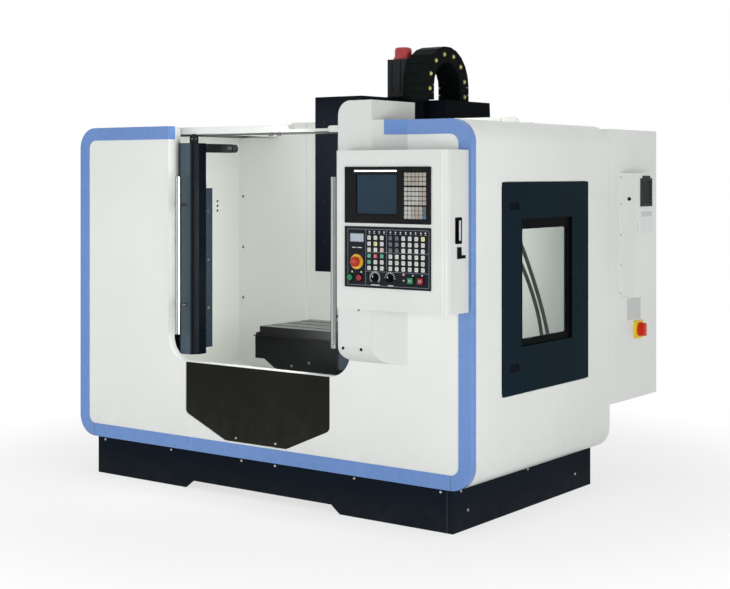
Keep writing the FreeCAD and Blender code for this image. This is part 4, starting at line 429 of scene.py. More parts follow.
bare_metal("zinc steel", (176, 178, 172), (128, 130, 126), "Z", 0.35, 0.5)
bare_metal("satin aluminium", (214, 216, 218), (188, 190, 194), "Z", 0.28, 0.44)
for finish, colour, shade, gleam in (
        ("black plastic", (14, 15, 16), (20, 21, 22), MATT),
        ("grille grey", (38, 41, 43), (46, 49, 51), 0.06),
        ("latch navy", (9, 15, 21), (13, 20, 27), MATT)):
    moulded(finish, colour, shade, gleam=gleam)
for finish, colour, shade in (
        ("key white", (206, 206, 202), (190, 190, 186)), ("key grey", (70, 78, 86), (60, 68, 76)),
        ("key yellow", (222, 216, 150), (208, 200, 130)), ("key pink", (208, 176, 176), (198, 164, 164)),
        ("key green", (62, 140, 112), (52, 126, 98)), ("key red", (184, 56, 66), (168, 46, 54)),
        ("pad beige", (158, 150, 140), (142, 134, 124)), ("pad white", (172, 172, 168), (154, 154, 150)),
        ("pad blue", (40, 92, 132), (34, 80, 118))):
    moulded(finish, colour, shade, 0.36, 0.5)
for finish, colour, shade in (
        ("icon grey", (150, 152, 154), (138, 140, 142)), ("line grey", (128, 134, 140), (112, 118, 124)),
        ("mark dark", (60, 62, 66), (50, 52, 56)), ("mark light", (216, 218, 216), (196, 198, 196)),
        ("seam grey", (176, 178, 176), (168, 170, 168))):
    moulded(finish, colour, shade, 0.4, 0.5)
moulded("bezel plastic", (14, 15, 17), (19, 20, 22), 0.24, 0.36, 0.1, gleam=0.04)
moulded("panel film", (20, 25, 32), (25, 30, 37), 0.3, 0.42, grain=1500.0, gleam=0.05)
moulded("chain black", (15, 19, 19), (20, 24, 23), 0.34, 0.5, scuffs=0.03, gleam=MATT)
moulded("stud olive", (112, 102, 46), (92, 84, 36), 0.4, 0.5, gleam=0.2)
moulded("stud cream", (212, 206, 140), (190, 180, 96), 0.35, 0.5)
moulded("display pale", (160, 174, 188), (146, 160, 176), 0.18, 0.26)
moulded("stop red", (208, 50, 26), (194, 40, 20), 0.24, 0.36, 0.08, gleam=0.3)
moulded("mushroom red", (182, 42, 25), (166, 34, 20), 0.24, 0.36, 0.08, gleam=0.3)
moulded("plate yellow", (230, 204, 50), (220, 190, 38), 0.28, 0.4, gleam=0.3)
moulded("collar yellow", (228, 176, 46), (218, 160, 34), 0.28, 0.4, gleam=0.3)
moulded("lens green", (14, 122, 76), (10, 106, 64), 0.16, 0.26, 0.08, gleam=0.15)
moulded("lens red", (146, 20, 36), (126, 14, 28), 0.16, 0.26, 0.08, gleam=0.15)
moulded("cap red", (168, 42, 45), (152, 35, 39), 0.26, 0.4)
moulded("lever grey", (202, 202, 212), (188, 188, 198), 0.3, 0.42)
moulded("hose green", (30, 47, 41), (24, 39, 34), 0.3, 0.44, grain=700.0, gleam=0.1)
# painted highlight light blue, for lines on the blue frame's turned edges
moulded("painted highlight blue", (146, 176, 222), (138, 168, 214), 0.3, 0.4)
# painted highlight white, for lines on the box's front edge
moulded("painted highlight white", (240, 242, 240), (236, 238, 236), 0.3, 0.4)

# Parts of the frame by finish; one name stands for the left and the right part.
FRAME_PARTS = {
    "band blue": "edge_trim", "box white": "housing box_shell", "plinth navy": "plinth",
    "shell white": "front_panel top_rail cabinet cabinet_door cooling_unit side_cover",
    "inner white": "chip_pan liner", "head navy": "column head_casting head_cover", "apron black": "apron",
    "cast grey": "bed", "zinc steel": "levelling_feet", "table iron": "table", "saddle iron": "saddle",
    "guard black": "saddle_guard hose_blocks door_hanger", "bright steel": "spindle",
    "motor black": "feed_motor", "cap red": "motor_cap", "chain black": "drag_chain",
    "grille grey": "cooling_grille", "plate yellow": "isolator_plate", "stop red": "isolator_knob",
    "bezel plastic": "screen_unit", "panel film": "operator_panel", "mushroom red": "estop_button",
    "black plastic": "lock_cup lock_lever box_hook feed_dial mode_dial", "hose green": "coolant_hoses",
    "lens green": "start_button cycle_start", "lens red": "stop_button feed_hold", "door navy": "side_door",
    "door charcoal": "door", "pane glass": "side_glass door_glass", "latch navy": "latch_upper latch_lower",
    "chrome": "door_handle",
}


def finish_nodes():
    """Every part of the frame takes its finish."""
    finishes = {part: finish for finish, parts in FRAME_PARTS.items() for part in parts.split()}
    for name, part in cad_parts.items():
        part.data.materials.clear()
        part.data.materials.append(FINISH[finishes[name.removesuffix("_left").removesuffix("_right")]])


# ---- mesh helpers ----
WELD = 1e-4              # millimetres; points of one piece that lie closer are made one
CREASE_ANGLE = 32        # degrees; edges that turn more than this stay sharp


def on_front(level):
    """Points (across, up, out) on a face that looks to the front."""
    return lambda a, b, out: Vector((a, level - out, b))


def on_right(level):
    return lambda a, b, out: Vector((level + out, a, b))


def on_left(level):
    return lambda a, b, out: Vector((level - out, a, b))


def on_top(level):
    return lambda a, b, out: Vector((a, b, level + out))


def rounded(a0, a1, b0, b1, radius, steps=5):
    """Outline of a rectangle with rounded corners."""
    points = []
    for a, b, start in ((a1 - radius, b0 + radius, -90), (a1 - radius, b1 - radius, 0),
                        (a0 + radius, b1 - radius, 90), (a0 + radius, b0 + radius, 180)):
        for i in range(steps + 1):
            turn = math.radians(start + 90 * i / steps)
            points.append((a + radius * math.cos(turn), b + radius * math.sin(turn)))
    return points


def shrunk(points, inset):
    """An outline drawn in towards its middle by about an inset."""
    sides = []
    for values in zip(*points):
        middle = (min(values) + max(values)) / 2
        share = 1 - inset / (max(values) - middle)
        sides.append([middle + (value - middle) * share for value in values])
    return list(zip(*sides))


def loft(mesh, surface, rings, closed=True):
    """Skin through rings of (outline, out), with or without its ends."""
    rows = [[mesh.verts.new(surface(a, b, out)) for a, b in points] for points, out in rings]
    bridge(mesh, rows)
    if closed:
        mesh.faces.new(list(reversed(rows[0])))
        mesh.faces.new(rows[-1])
    return rows


def bridge(mesh, rows):
    for low, high in zip(rows, rows[1:]):
        for i in range(len(low)):
            j = (i + 1) % len(low)
            mesh.faces.new((low[i], low[j], high[j], high[i]))


def slab(mesh, surface, points, base, top, chamfer=0.4):
    """A flat plate that stands on a surface, with a chamfered edge."""
    loft(mesh, surface, [(points, base), (points, top - chamfer), (shrunk(points, chamfer), top)])


def bar(mesh, surface, a0, a1, b0, b1, base, top):
    loft(mesh, surface, [([(a0, b0), (a1, b0), (a1, b1), (a0, b1)], out) for out in (base, top)])


def ring(mesh, surface, outer, inner, base, top):
    """A flat frame between two outlines with as many points."""
    rows = loft(mesh, surface, [(outer, base), (outer, top), (inner, top), (inner, base)], False)
    bridge(mesh, [rows[-1], rows[0]])


def turned(mesh, surface, a, b, profile, steps=40):
    """A round piece from (radius, out) pairs; it closes where the radius is nothing."""
    rows = []
    for radius, out in profile:
        turns = [2 * math.pi * i / steps for i in range(steps)] if radius > 0 else [0.0]
        rows.append([mesh.verts.new(surface(a + radius * math.cos(t), b + radius * math.sin(t), out))
                     for t in turns])
    for low, high in zip(rows, rows[1:]):
        if len(high) > 1:
            bridge(mesh, [low, high])
        else:
            for i in range(steps):
                mesh.faces.new((low[i], low[(i + 1) % steps], high[0]))
    if len(rows[-1]) > 1:
        mesh.faces.new(list(reversed(rows[0])))
        mesh.faces.new(rows[-1])


def make_piece(name, finish, body, slot, strokes, replaces=(), soften=0.0):
    """A finished piece that rides on a body; each stroke is a mesh helper with its values."""
    mesh = bmesh.new()
    for draw, *values in strokes:
        draw(mesh, *values)
    bmesh.ops.remove_doubles(mesh, verts=mesh.verts, dist=WELD)
    bmesh.ops.recalc_face_normals(mesh, faces=mesh.faces)
    mesh.transform(TO_FRAME)
    return settle(name, plain_mesh(name, mesh), finish, body, replaces, soften)


def plain_mesh(name, mesh):
    data = bpy.data.meshes.new(name)
    mesh.to_mesh(data)
    mesh.free()
    return data


def settle(name, data, finish, body, replaces=(), soften=0.0):
    """Puts a mesh in the scene with its finish, shading and body."""
    piece = add_object(name, data)
    if finish:
        data.materials.append(FINISH[finish])
    if soften:
        bevel = piece.modifiers.new("soft edges", "BEVEL")
        bevel.width = soften / 1000
        bevel.segments = 2
        bevel.limit_method = "ANGLE"
    data.shade_smooth()
    data.set_sharp_from_angle(angle=math.radians(CREASE_ANGLE))
    if body:
        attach(piece, body)
    if replaces:
        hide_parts(*replaces)
    return piece


# ---- geometry node trees ----

def shape_tree(name, values):
    """A tree that takes points, sizes and a material."""
    inputs = {"Points": "Geometry", **values, "Material": "Material"}
    return node_group(name, "GeometryNodeTree", inputs, {"Geometry": "Geometry"})


def spread(tree, source, sink, shape, **turn):
    """Puts a shape on every point and ends the tree in real faces with the material."""
    spots = node(tree, "GeometryNodeInstanceOnPoints", {"Points": source["Points"], "Instance": shape,
                                                        **turn})
    real = node(tree, "GeometryNodeRealizeInstances", {"Geometry": spots.outputs[0]})
    done = node(tree, "GeometryNodeSetMaterial", {"Geometry": real.outputs[0],
                                                  "Material": source["Material"]})
    return end_group(tree, sink, Geometry=done.outputs[0])


def block_of(tree, *sizes):
    size = node(tree, "ShaderNodeCombineXYZ", dict(zip("XYZ", sizes)))
    return node(tree, "GeometryNodeMeshCube", {"Size": size.outputs[0]}).outputs["Mesh"]


def turn_along(axis, vector):
    turn = node(vector.id_data, "FunctionNodeAlignRotationToVector", {"Vector": vector}, axis=axis)
    return turn.outputs[0]


def fastener_tree():
    """A tapered screw head with a socket at each point, its axis along the point's facing."""
    tree, source, sink = shape_tree("Fasteners", {
        "Radius": 0.006, "Rise": 0.002, "Taper": 0.8, "Socket Share": 0.5, "Sides": 20})
    radius, rise = source["Radius"], source["Rise"]
    head = node(tree, "GeometryNodeMeshCone", {
        "Vertices": source["Sides"], "Radius Top": multiply(radius, source["Taper"]),
        "Radius Bottom": radius, "Depth": rise})
    socket = node(tree, "GeometryNodeMeshCylinder", {
        "Vertices": 6, "Radius": multiply(radius, source["Socket Share"]), "Depth": rise})
    lift = node(tree, "ShaderNodeCombineXYZ", {"Z": rise})
    raised = node(tree, "GeometryNodeTransform", {"Geometry": socket.outputs["Mesh"],
                                                  "Translation": lift.outputs[0]})
    drilled = node(tree, "GeometryNodeMeshBoolean", {"Mesh 1": head.outputs["Mesh"],
                                                     "Mesh 2": raised.outputs[0]}, operation="DIFFERENCE")
    facing = node(tree, "GeometryNodeInputNamedAttribute", {"Name": "facing"}, data_type="FLOAT_VECTOR")
    turn = turn_along("Z", facing.outputs["Attribute"])
    return spread(tree, source, sink, drilled.outputs["Mesh"], Rotation=turn)


def key_tree():
    """A soft-edged key cap at each point of a front face."""
    tree, source, sink = shape_tree("Key caps", {
        "Width": 0.019, "Height": 0.019, "Thickness": 0.004, "Crease": 0.8})
    block = block_of(tree, source["Width"], source["Thickness"], source["Height"])
    soft = node(tree, "GeometryNodeSubdivisionSurface", {"Mesh": block, "Level": 2,
                                                         "Edge Crease": source["Crease"]})
    smooth = node(tree, "GeometryNodeSetShadeSmooth", {"Geometry": soft.outputs["Mesh"]})
    return spread(tree, source, sink, smooth.outputs[0])


def tick_tree():
    """Short bars round an arc on a front face, each along its own radius."""
    tree, source, sink = shape_tree("Dial ticks", {
        "Radius": 0.03, "Length": 0.006, "Width": 0.002, "Thickness": 0.0008, "Count": 12, "Start": 0.0,
        "Sweep": 4.7})
    arc = node(tree, "GeometryNodeCurveArc", {
        "Resolution": source["Count"], "Radius": source["Radius"], "Start Angle": source["Start"],
        "Sweep Angle": source["Sweep"]}, mode="RADIUS")
    block = block_of(tree, source["Length"], source["Width"], source["Thickness"])
    turn = turn_along("X", tree.nodes.new("GeometryNodeInputPosition").outputs[0])
    ticks = node(tree, "GeometryNodeInstanceOnPoints", {"Points": arc.outputs["Curve"], "Instance": block,
                                                        "Rotation": turn})
    upright = node(tree, "GeometryNodeTransform", {"Geometry": ticks.outputs[0],
                                                   "Rotation": (math.pi / 2, 0.0, 0.0)})
    return spread(tree, source, sink, upright.outputs[0])


FASTENERS = fastener_tree()
KEY_CAPS = key_tree()
DIAL_TICKS = tick_tree()


def grow(name, tree, points, body, slot, finish, facing=(), **values):
    """Runs a tree on points and keeps its result as one plain mesh."""
    data = bpy.data.meshes.new(name + " points")
    data.from_pydata([TO_FRAME @ Vector(point) for point in points], [], [])
    if facing:
        layer = data.attributes.new("facing", "FLOAT_VECTOR", "POINT")
        for item, direction in zip(layer.data, facing):
            item.vector = direction
    seed = add_object(name + " points", data)
    modifier = seed.modifiers.new("grow", "NODES")
    modifier.node_group = tree
    values["Material"] = FINISH[finish]
    for item in tree.interface.items_tree:
        if item.in_out == "INPUT" and item.name.replace(" ", "_") in values:
            modifier[item.identifier] = values[item.name.replace(" ", "_")]
    seed.update_tag()
    view = bpy.context.evaluated_depsgraph_get()
    mesh = bpy.data.meshes.new_from_object(seed.evaluated_get(view), depsgraph=view)
    mesh.name = name
    bpy.data.objects.remove(seed)
    return settle(name, mesh, None, body)


FRONT = (0.0, -1.0, 0.0)
RIGHT = (1.0, 0.0, 0.0)
LEFT = (-1.0, 0.0, 0.0)


def screws(name, spots, body, radius, rise, finish="zinc steel", slot="zinc_steel", **values):
    """Screw heads; spots are (x, y, z, facing)."""
    return grow(name, FASTENERS, [spot[:3] for spot in spots], body, slot, finish,
                [spot[3] for spot in spots], Radius=radius / 1000, Rise=rise / 1000, **values)


# ---- fasteners ----

def fasten_machine():
    plinth = [(x, PLINTH_FACE, 174, FRONT) for x in (-1039, -571, -108, 100, 564, 1029)]
    for side, facing in ((PLINTH_SIDE, RIGHT), (-PLINTH_SIDE, LEFT)):
        plinth += [(side, y, z, facing) for y, z in ((88, 176), (144, 83), (658, 176), (1115, 77))]
    screws("plinth_screws", plinth, "frame", 6.5, 3)
    apron = [(DOORWAY_X + dx, APRON_FACE, 282, FRONT) for dx in (-120, 125)]
    screws("apron_screws", apron, "frame", 6, 3)
    housing = [(x, HOUSING_FACE, z, FRONT) for x, z in ((585, 771), (684, 771), (671, 947))]
    screws("housing_screws", housing, "frame", 7, 2.5, "black plastic", "black_plastic")
    corner = [(side * 1098, 1161, z, FRONT) for side in (-1, 1) for z in (1411, 1117, 825)]
    screws("inner_wall_screws", corner, "frame", 9, 3, "rail steel")
    plugs = [(-1130, 975, z, RIGHT) for z in (1385, 1358, 1331)]
    screws("inner_wall_plugs", plugs, "frame", 7, 2, "black plastic", "black_plastic", Socket_Share=0.3)
    for side, sign, facing in (("left", -1, RIGHT), ("right", 1, LEFT)):
        strip = [(DOORWAY_X + sign * 432, 150, z - 12 - sign * 12, facing) for z in (1354, 1114, 876)]
        screws("splash_strip_screws_" + side, strip, side + "_door", 6, 2.5)
    for side, x, facing in (("left", -452.5, RIGHT), ("right", 440.5, LEFT)):
        arm = [(x, y, 1669, facing) for y in (318, 338)]
        screws("roller_screws_" + side, arm, side + "_door", 8, 4)
    guard = [(DOORWAY_X + dx, GUARD_FACE, z, FRONT)
             for dx, z in ((-105, 584), (105, 584), (-219, 560), (219, 560))]
    screws("saddle_guard_screws", guard, "saddle_unit", 8, 3)
    head = [(x, HEAD_FACE, z, FRONT) for x in (-91, 91) for z in (1803, 1600, 1397, 1194)]
    screws("head_screws", head, "head_unit", 7, 2.5, "bezel plastic")
    rivets = [(HALF + SHEET, 1384, z, RIGHT) for z in (1523, 1389, 1237, 1089, 946)]
    screws("cooling_rivets", rivets, "frame", 5, 2, Socket_Share=0.3)


def hang_chain():
    """Cable chain with pale studs in its links."""
    near, high = CHAIN_CENTRE
    step = math.pi / CHAIN_LINKS
    turns = [(i + 0.33) * step for i in range(CHAIN_LINKS)]
    spots = [(near + CHAIN_R * math.cos(turn), high + CHAIN_R * math.sin(turn)) for turn in turns]
    spots += [(near - CHAIN_R, 1990), (near + CHAIN_R, 1957)]
    studs = [(side, y, z, facing) for side, facing in zip(CHAIN_SIDES[::-1], (RIGHT, LEFT)) for y, z in spots]
    rings = screws("chain_rings", studs, None, 14, 2, "stud olive", "yellow_plastic", Taper=0.85,
                   Socket_Share=0.2)
    caps = screws("chain_studs", studs, None, 9.5, 6, "stud cream", "yellow_plastic", Taper=0.8,
                  Socket_Share=0.35)
    mesh = bmesh.new()
    mesh.from_mesh(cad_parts["drag_chain"].data)
    bmesh.ops.remove_doubles(mesh, verts=mesh.verts, dist=1e-5)
    links = settle("chain_links", plain_mesh("chain_links", mesh), "chain black", None,
                   ["drag_chain"])
    low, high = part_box("drag_chain")
    for piece in (links, rings, caps):
        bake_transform(piece)


# ---- screen unit and keypad ----

KEYPAD_COLUMNS = 6
KEYPAD_BLOCKS = ((1490.0, 1547.0, 3), (1408.0, 1486.0, 4), (1351.0, 1404.0, 3))   # low, high, rows
KEYPAD = (978.0, 1091.0, 1349.0, 1549.0)


def unit_piece(name, finish, strokes, slot="panel_plastic", body="operator_box", **more):
    """A piece on the face of the screen unit or the panel; its strokes are drawn on that face."""
    surface = on_front(UNIT_FACE)
    make_piece(name, finish, body, slot, [(draw, surface, *values) for draw, *values in strokes], **more)


def place_caps(groups, size, thick, crease):
    """Square key caps in metres; groups give each piece's finish and points."""
    for name, (finish, points) in groups.items():
        grow(name, KEY_CAPS, points, "operator_box", "panel_plastic", finish, Width=size, Height=size,
             Thickness=thick, Crease=crease)


def dress_screen():
    outline = rounded(*SCREEN, 6)
    left, right, low, high = SCREEN
    wide = rounded(left - 7, right + 7, low - 7, high + 7, 11)
    unit_piece("screen_surround", "bezel plastic",
               [(loft, [(wide, 0.0), (wide, 1.2), (outline, 0.6), (outline, -4.4)], False)])
    unit_piece("screen_pane", "dark screen", [(loft, [
        (shrunk(outline, 0.5), -4.8), (shrunk(outline, 0.6), -3.6), (shrunk(outline, 14), -3.0)])])
    unit_piece("screen_trim", "satin aluminium", [(slab, rounded(715, 940, 1549.5, 1557, 3), 0, 1.2)],
               "bright_steel")
    unit_piece("keypad_mat", "black plastic", [(slab, rounded(*KEYPAD, 3), 0, 1.4)], "black_plastic")
    groups = {"pad beige": [], "pad white": [], "key grey": [], "pad blue": []}
    wide = (KEYPAD[1] - KEYPAD[0]) / KEYPAD_COLUMNS
    for block, (low, high, rows) in enumerate(KEYPAD_BLOCKS):
        tall = (high - low) / rows
        for i in range(KEYPAD_COLUMNS):
            for j in range(rows):
                finish = "pad beige"
                if (block == 1 and i < 4) or (block == 2 and i < 2):
                    finish = "pad white"
                if block == 2 and i == KEYPAD_COLUMNS - 1:
                    finish = "pad blue" if j == 0 else "key grey"
                groups[finish].append((KEYPAD[0] + (i + 0.5) * wide, UNIT_FACE - 1.9, low + (j + 0.5) * tall))
    place_caps({finish.replace(" ", "_") + "_caps": (finish, points) for finish, points in groups.items()},
               0.0168, 0.003, 0.7)


# ---- operator panel ----

PANEL_BORDER = (680.0, 1104.0, 1062.5, 1304.0)
LINE = 1.5


def rule_panel():
    """Printed frame and dividers of the panel."""
    left, right, low, high = PANEL_BORDER
    lines = [(left, right, low, low + LINE), (left, right, high - LINE, high), (left, left + LINE, low, high),
             (right - LINE, right, low, high), (776, 776 + LINE, low, high), (886, 886 + LINE, 1134, high),
             (776, right, 1205, 1205 + LINE), (776, right, 1123, 1123 + LINE)]
    unit_piece("panel_lines", "line grey", [(bar, *line, SUNK, 0.4) for line in lines])
    unit_piece("display_frame", "line grey", [(slab, rounded(693, 767, 1248, 1285, 3), 0, 1.2)])
    unit_piece("display_pane", "display pale", [(slab, rounded(697, 763, 1252, 1281, 2), 1.0, 1.7)])
    strokes = []
    for x in (704, 715.5, 727, 738.5, 750):
        for z in (1257, 1267):
            strokes += [(bar, x, x + 1.6, z, z + 8, 1.6, 1.9), (bar, x, x + 7, z + 8, z + 9.2, 1.6, 1.9)]
    unit_piece("display_bars", "line grey", strokes)


def mark_panel():
    """Small bars, lamps and icons that say nothing but show where each control is."""
    strokes = []
    for x in (797, 822, 848, 874, 907, 933, 959, 986, 1011, 1036, 1063, 1086):
        strokes += [(turned, x, 1293, [(3.4, SUNK), (3.4, 1.2), (2.4, 2.0), (0, 2.2)], 12),
                    (bar, x - 5, x + 5, 1284.5, 1286, SUNK, 0.3)]
    for x0, x1, z in ((704, 726, 1224), (733, 756, 1224), (805, 851, 1066.5), (894, 922, 1066.5)):
        strokes.append((bar, x0, x1, z - 1.6, z + 1.6, SUNK, 0.4))
    for x, z in ((704, 1119), (753, 1119), (975, 1091), (1022, 1114), (1069, 1116)):
        strokes.append((bar, x - 3.4, x + 3.4, z - 3, z + 3, SUNK, 0.4))
    unit_piece("panel_marks", "mark light", strokes)
    profile = [(5, SUNK), (5, 1.6), (3.6, 2.6), (0, 3.0)]
    unit_piece("panel_lamp", "key pink", [(turned, 975, 1116, profile, 16)], "red_plastic")


def key_finish(column, row):
    """Colour of a key; columns 0 to 2 stand left of the divider."""
    if 3 <= column < 5 and row < 3:
        return "key grey"
    return {(1, 1): "key yellow", (2, 2): "key pink", (0, 3): "key green", (1, 3): "key red",
            (2, 3): "key green", (0, 4): "key green", (8, 0): "key yellow"}.get((column, row), "key white")


def place_keys():
    groups = {}
    icons = []
    for i, x in enumerate(KEY_COLUMNS):
        for j, z in enumerate(KEY_ROWS):
            finish = key_finish(i, j)
            groups.setdefault(finish, []).append((x, UNIT_FACE - 2.4, z))
            if finish != "key grey":
                icons.append((draw_icon, x, z, (i * 5 + j * 3) % 6))
    place_caps({"panel_keys_" + finish.split()[1]: (finish, points) for finish, points in groups.items()},
               0.0182, 0.0048, 0.8)
    unit_piece("key_icons", "icon grey", icons)


def draw_icon(mesh, front, x, z, kind):
    """One of six plain icons: bars, a cross, an arrow, a ring, steps, a dot."""
    low, top = 4.2, 4.95
    if kind == 0:
        for dz in (-3, 0, 3):
            bar(mesh, front, x - 4.5, x + 4.5, z + dz - 0.6, z + dz + 0.6, low, top)
    elif kind == 1:
        for across, up in ((4.5, 0.7), (0.7, 4.5)):
            bar(mesh, front, x - across, x + across, z - up, z + up, low, top)
    elif kind == 2:
        loft(mesh, front, [([(x - 4, z - 4), (x + 4.5, z), (x - 4, z + 4)], out) for out in (low, top)])
    elif kind == 3:
        turned(mesh, front, x, z, [(4.4, low), (4.4, top), (3.0, top), (3.0, low)], 16)
    elif kind == 4:
        for k in range(3):
            bar(mesh, front, x - 4.5 + 3 * k, x - 2.5 + 3 * k, z - 4, z - 1 + 2.4 * k, low, top)
    else:
        turned(mesh, front, x, z, [(2.6, low), (2.6, top), (0, top)], 12)


def square_ring(x, half, tall, corner, edge, base, top):
    """A square or flat frame round a square button's middle."""
    outer, inner = (rounded(x - half + inset, x + half - inset, SQUARE_BUTTONS_Z - tall + inset,
                            SQUARE_BUTTONS_Z + tall - inset, radius) for inset, radius in ((0, corner), edge))
    return (ring, outer, inner, base, top)


def dress_controls():
    x, z = ESTOP
    profile = [(11.6, 0.1), (33, 0.1), (33, 3.6), (31, 5.4), (12.5, 5.6), (11.6, 5.0)]
    unit_piece("stop_collar", "collar yellow", [(turned, x, z, profile, 56)], "yellow_plastic")
    profile = [(10.8, -15.9), (10.8, 11.2), (19.5, 11.2), (22, 12.4), (22, 17.5), (21, 20.5), (18.5, 23),
               (14, 25.2), (8, 26.6), (0, 27)]
    unit_piece("stop_mushroom", "mushroom red", [(turned, x, z, profile, 56)], "red_plastic", "estop",
               replaces=["estop_button"])
    profile = [(5.8, -15.9), (5.8, 0.6), (17, 0.6), (17, 4.2), (15.6, 5.6), (12.4, 6.4)]
    for name, body, x in (("feed_dial", "feed_knob", DIALS_X[0]), ("mode_dial", "mode_knob", DIALS_X[1])):
        grip = []
        for i in range(72):
            turn = 2 * math.pi * i / 72
            radius = 12.4 + (0.5 if i % 2 else -0.3)
            grip.append((x + radius * math.cos(turn), DIAL_Z + radius * math.sin(turn)))
        rings = [(grip, 5.6), (grip, 15.4), (shrunk(grip, 1.4), 16.8), (shrunk(grip, 4), 17)]
        unit_piece(name + "_knob", "black plastic", [(turned, x, DIAL_Z, profile, 48), (loft, rings)],
                   "black_plastic", body, replaces=[name])
        unit_piece(name + "_pointer", "mark light",
                   [(bar, x - 1.2, x + 1.2, DIAL_Z + 2, DIAL_Z + 11.4, 16.8, 19.6)], body=body)
    for name, x, count, length, width, start, sweep in (("a", DIALS_X[0], 23, 0.008, 0.0019, -40, 260),
                                                        ("b", DIALS_X[1], 9, 0.007, 0.0026, 0, 170)):
        grow("dial_scale_" + name, DIAL_TICKS, [(x, UNIT_FACE - 0.1, DIAL_Z)], "operator_box",
             "panel_plastic", "mark light", Radius=0.0245, Length=length, Width=width, Count=count,
             Start=math.radians(start), Sweep=math.radians(sweep))
    profile = [(14.6, 0.1), (18.5, 0.1), (18.2, 2.2), (16.4, 3.2), (14.6, 2.8)]
    unit_piece("button_bezels", "black plastic",
               [(turned, x, ROUND_BUTTONS_Z, profile, 48) for x in ROUND_BUTTONS_X], "black_plastic")
    unit_piece("square_bezels", "black plastic",
               [square_ring(x, 17, 17, 3, (3.4, 2), 0.1, 2.6) for x in SQUARE_BUTTONS_X], "black_plastic",
               soften=0.5)
    for x, body in zip(SQUARE_BUTTONS_X, ("cycle_push", "hold_push")):
        unit_piece(body + "_icon", "mark light", [square_ring(x, 6, 4, 1.5, (1, 1), 8.8, 9.3)], body=body)


# ---- hoses ----

HOSE_THICK = 18.0
HOSE_ROUTES = {          # side of the machine, then the bends (back, up)
    "hose_high": (1085.0, ((446, 1500), (446, 1425), (572, 1268), (742, 1016), (856, 790), (906, 600),
                           (906, 476))),
    "hose_low": (1043.0, ((402, 1500), (402, 1416), (572, 1245), (738, 1052), (854, 850), (890, 660),
                          (888, 476))),
}


def hang_hoses():
    for name, (x, route) in HOSE_ROUTES.items():
        curve = bpy.data.curves.new(name, "CURVE")
        curve.dimensions = "3D"
        line = curve.splines.new("NURBS")
        points = [TO_FRAME @ Vector((x, y, z)) for y, z in route]
        line.points.add(len(points) - 1)
        for spot, point in zip(line.points, points):
            spot.co = (*point, 1.0)
        line.order_u = 3
        line.use_endpoint_u = True
        line.resolution_u = 12
        curve.bevel_depth = HOSE_THICK / 2000
        curve.bevel_resolution = 6
        curve.use_fill_caps = True
        hose = add_object(name, curve)
        curve.materials.append(FINISH["hose green"])
        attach(hose, "frame")
        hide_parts("coolant_hoses")


# ---- cabinet, cooling unit and trim ----

def dress_cabinet():
    """Bare plates, a lamp and a ring on the cooling unit and the isolator, and pressed vent lines."""
    side = on_right(COOLER_SIDE)
    make_piece("cooling_plate", "plate grey", "frame", "white_paint",
               [(slab, side, rounded(1452, 1572, 1326, 1352, 2), SUNK, 1.2)])
    make_piece("isolator_sign_plate", "plate grey", "frame", "white_paint",
               [(slab, on_right(HALF), rounded(1461, 1614, 803, 911, 2), SUNK, 1.0)])
    make_piece("cooling_lamp", "black plastic", "frame", "black_plastic",
               [(turned, on_front(1392), 1247, 1416, [(9, SUNK), (9, 2.4), (7.4, 3.4), (0, 3.6)], 24)])
    profile = [(37.5, SUNK), (43, SUNK), (43, 0.9), (41, 1.6), (37.5, 1.6)]
    make_piece("isolator_ring", "plate yellow", "frame", "yellow_plastic",
               [(turned, on_right(HALF + 12), 1580, 751, profile, 56)])
    lines = [(1408, 1411, 1251, 1309)]
    lines += [(y, y + 2.4, 1245, 1322) for y in (1449, 1476, 1503, 1530, 1557, 1584)]
    make_piece("cooling_lines", "seam grey", "frame", "white_paint",
               [(bar, side, *line, SUNK, 0.2) for line in lines])


def cap_motor():
    """Round dust cap with a soft top edge over the motor's encoder."""
    x, y, low = MOTOR_CAP
    profile = [(52, 0), (52, 11), (50.6, 13.4), (46, 14), (46, 50), (45.2, 56), (42.6, 61), (38, 64.6),
               (31, 66.4), (0, 67)]
    make_piece("motor_dust_cap", "cap red", "frame", "red_plastic",
               [(turned, on_top(low), x, y, profile, 64)], ["motor_cap"])


def dress_box():
    """Light strip on the lock's lever, and painted highlights: white lines along the box's folded front edge.
    """
    make_piece("lever_strip", "lever grey", "lever", "chrome",
               [(slab, on_right(LEVER_SIDE), rounded(-79, -65, 1262, 1346, 2), SUNK, 0.8)])
    # painted highlights: thin white strips on the front and side of the box's edge
    make_piece("box_beads", "painted highlight white", "operator_box", "white_paint",
               [(bar, on_front(BOX_FACE), 1166, 1169, 958, 1640, SUNK, 0.4),
                (bar, on_right(BOX_SIDE), -152, -148, 958, 1640, SUNK, 0.4)])


def square_doors():
    """Sharp corners of the side doors' sheet skins."""
    front, low, high = SIDE_DOOR
    for side, back in SIDE_DOOR_BACKS.items():
        surface = on_right(DOOR_SIDE) if side == "right" else on_left(-DOOR_SIDE)
        strokes = []
        for a, toward_a in ((front, 1), (back, -1)):
            for b, toward_b in ((low, 1), (high, -1)):
                turns = [math.radians(15 * k) for k in range(7)]
                points = [(a, b)] + [(a + toward_a * SIDE_DOOR_R * (1 - math.cos(turn)),
                                      b + toward_b * SIDE_DOOR_R * (1 - math.sin(turn))) for turn in turns]
                strokes.append((loft, surface, [(points, -2.7), (points, 0.0)]))
        make_piece("door_corners_" + side, "door navy", "side_leaf_" + side, "navy_paint", strokes)


def line_trim():
    """Painted highlights: light blue lines where the blue frame turns round to the side."""
    make_piece("trim_edges", "painted highlight blue", "frame", "blue_paint",
               [(bar, surface, y, y + 3.0, 300, 1668, SUNK, 0.3)
                for surface in (on_right(HALF), on_left(-HALF)) for y in (3.0, 34.0)])


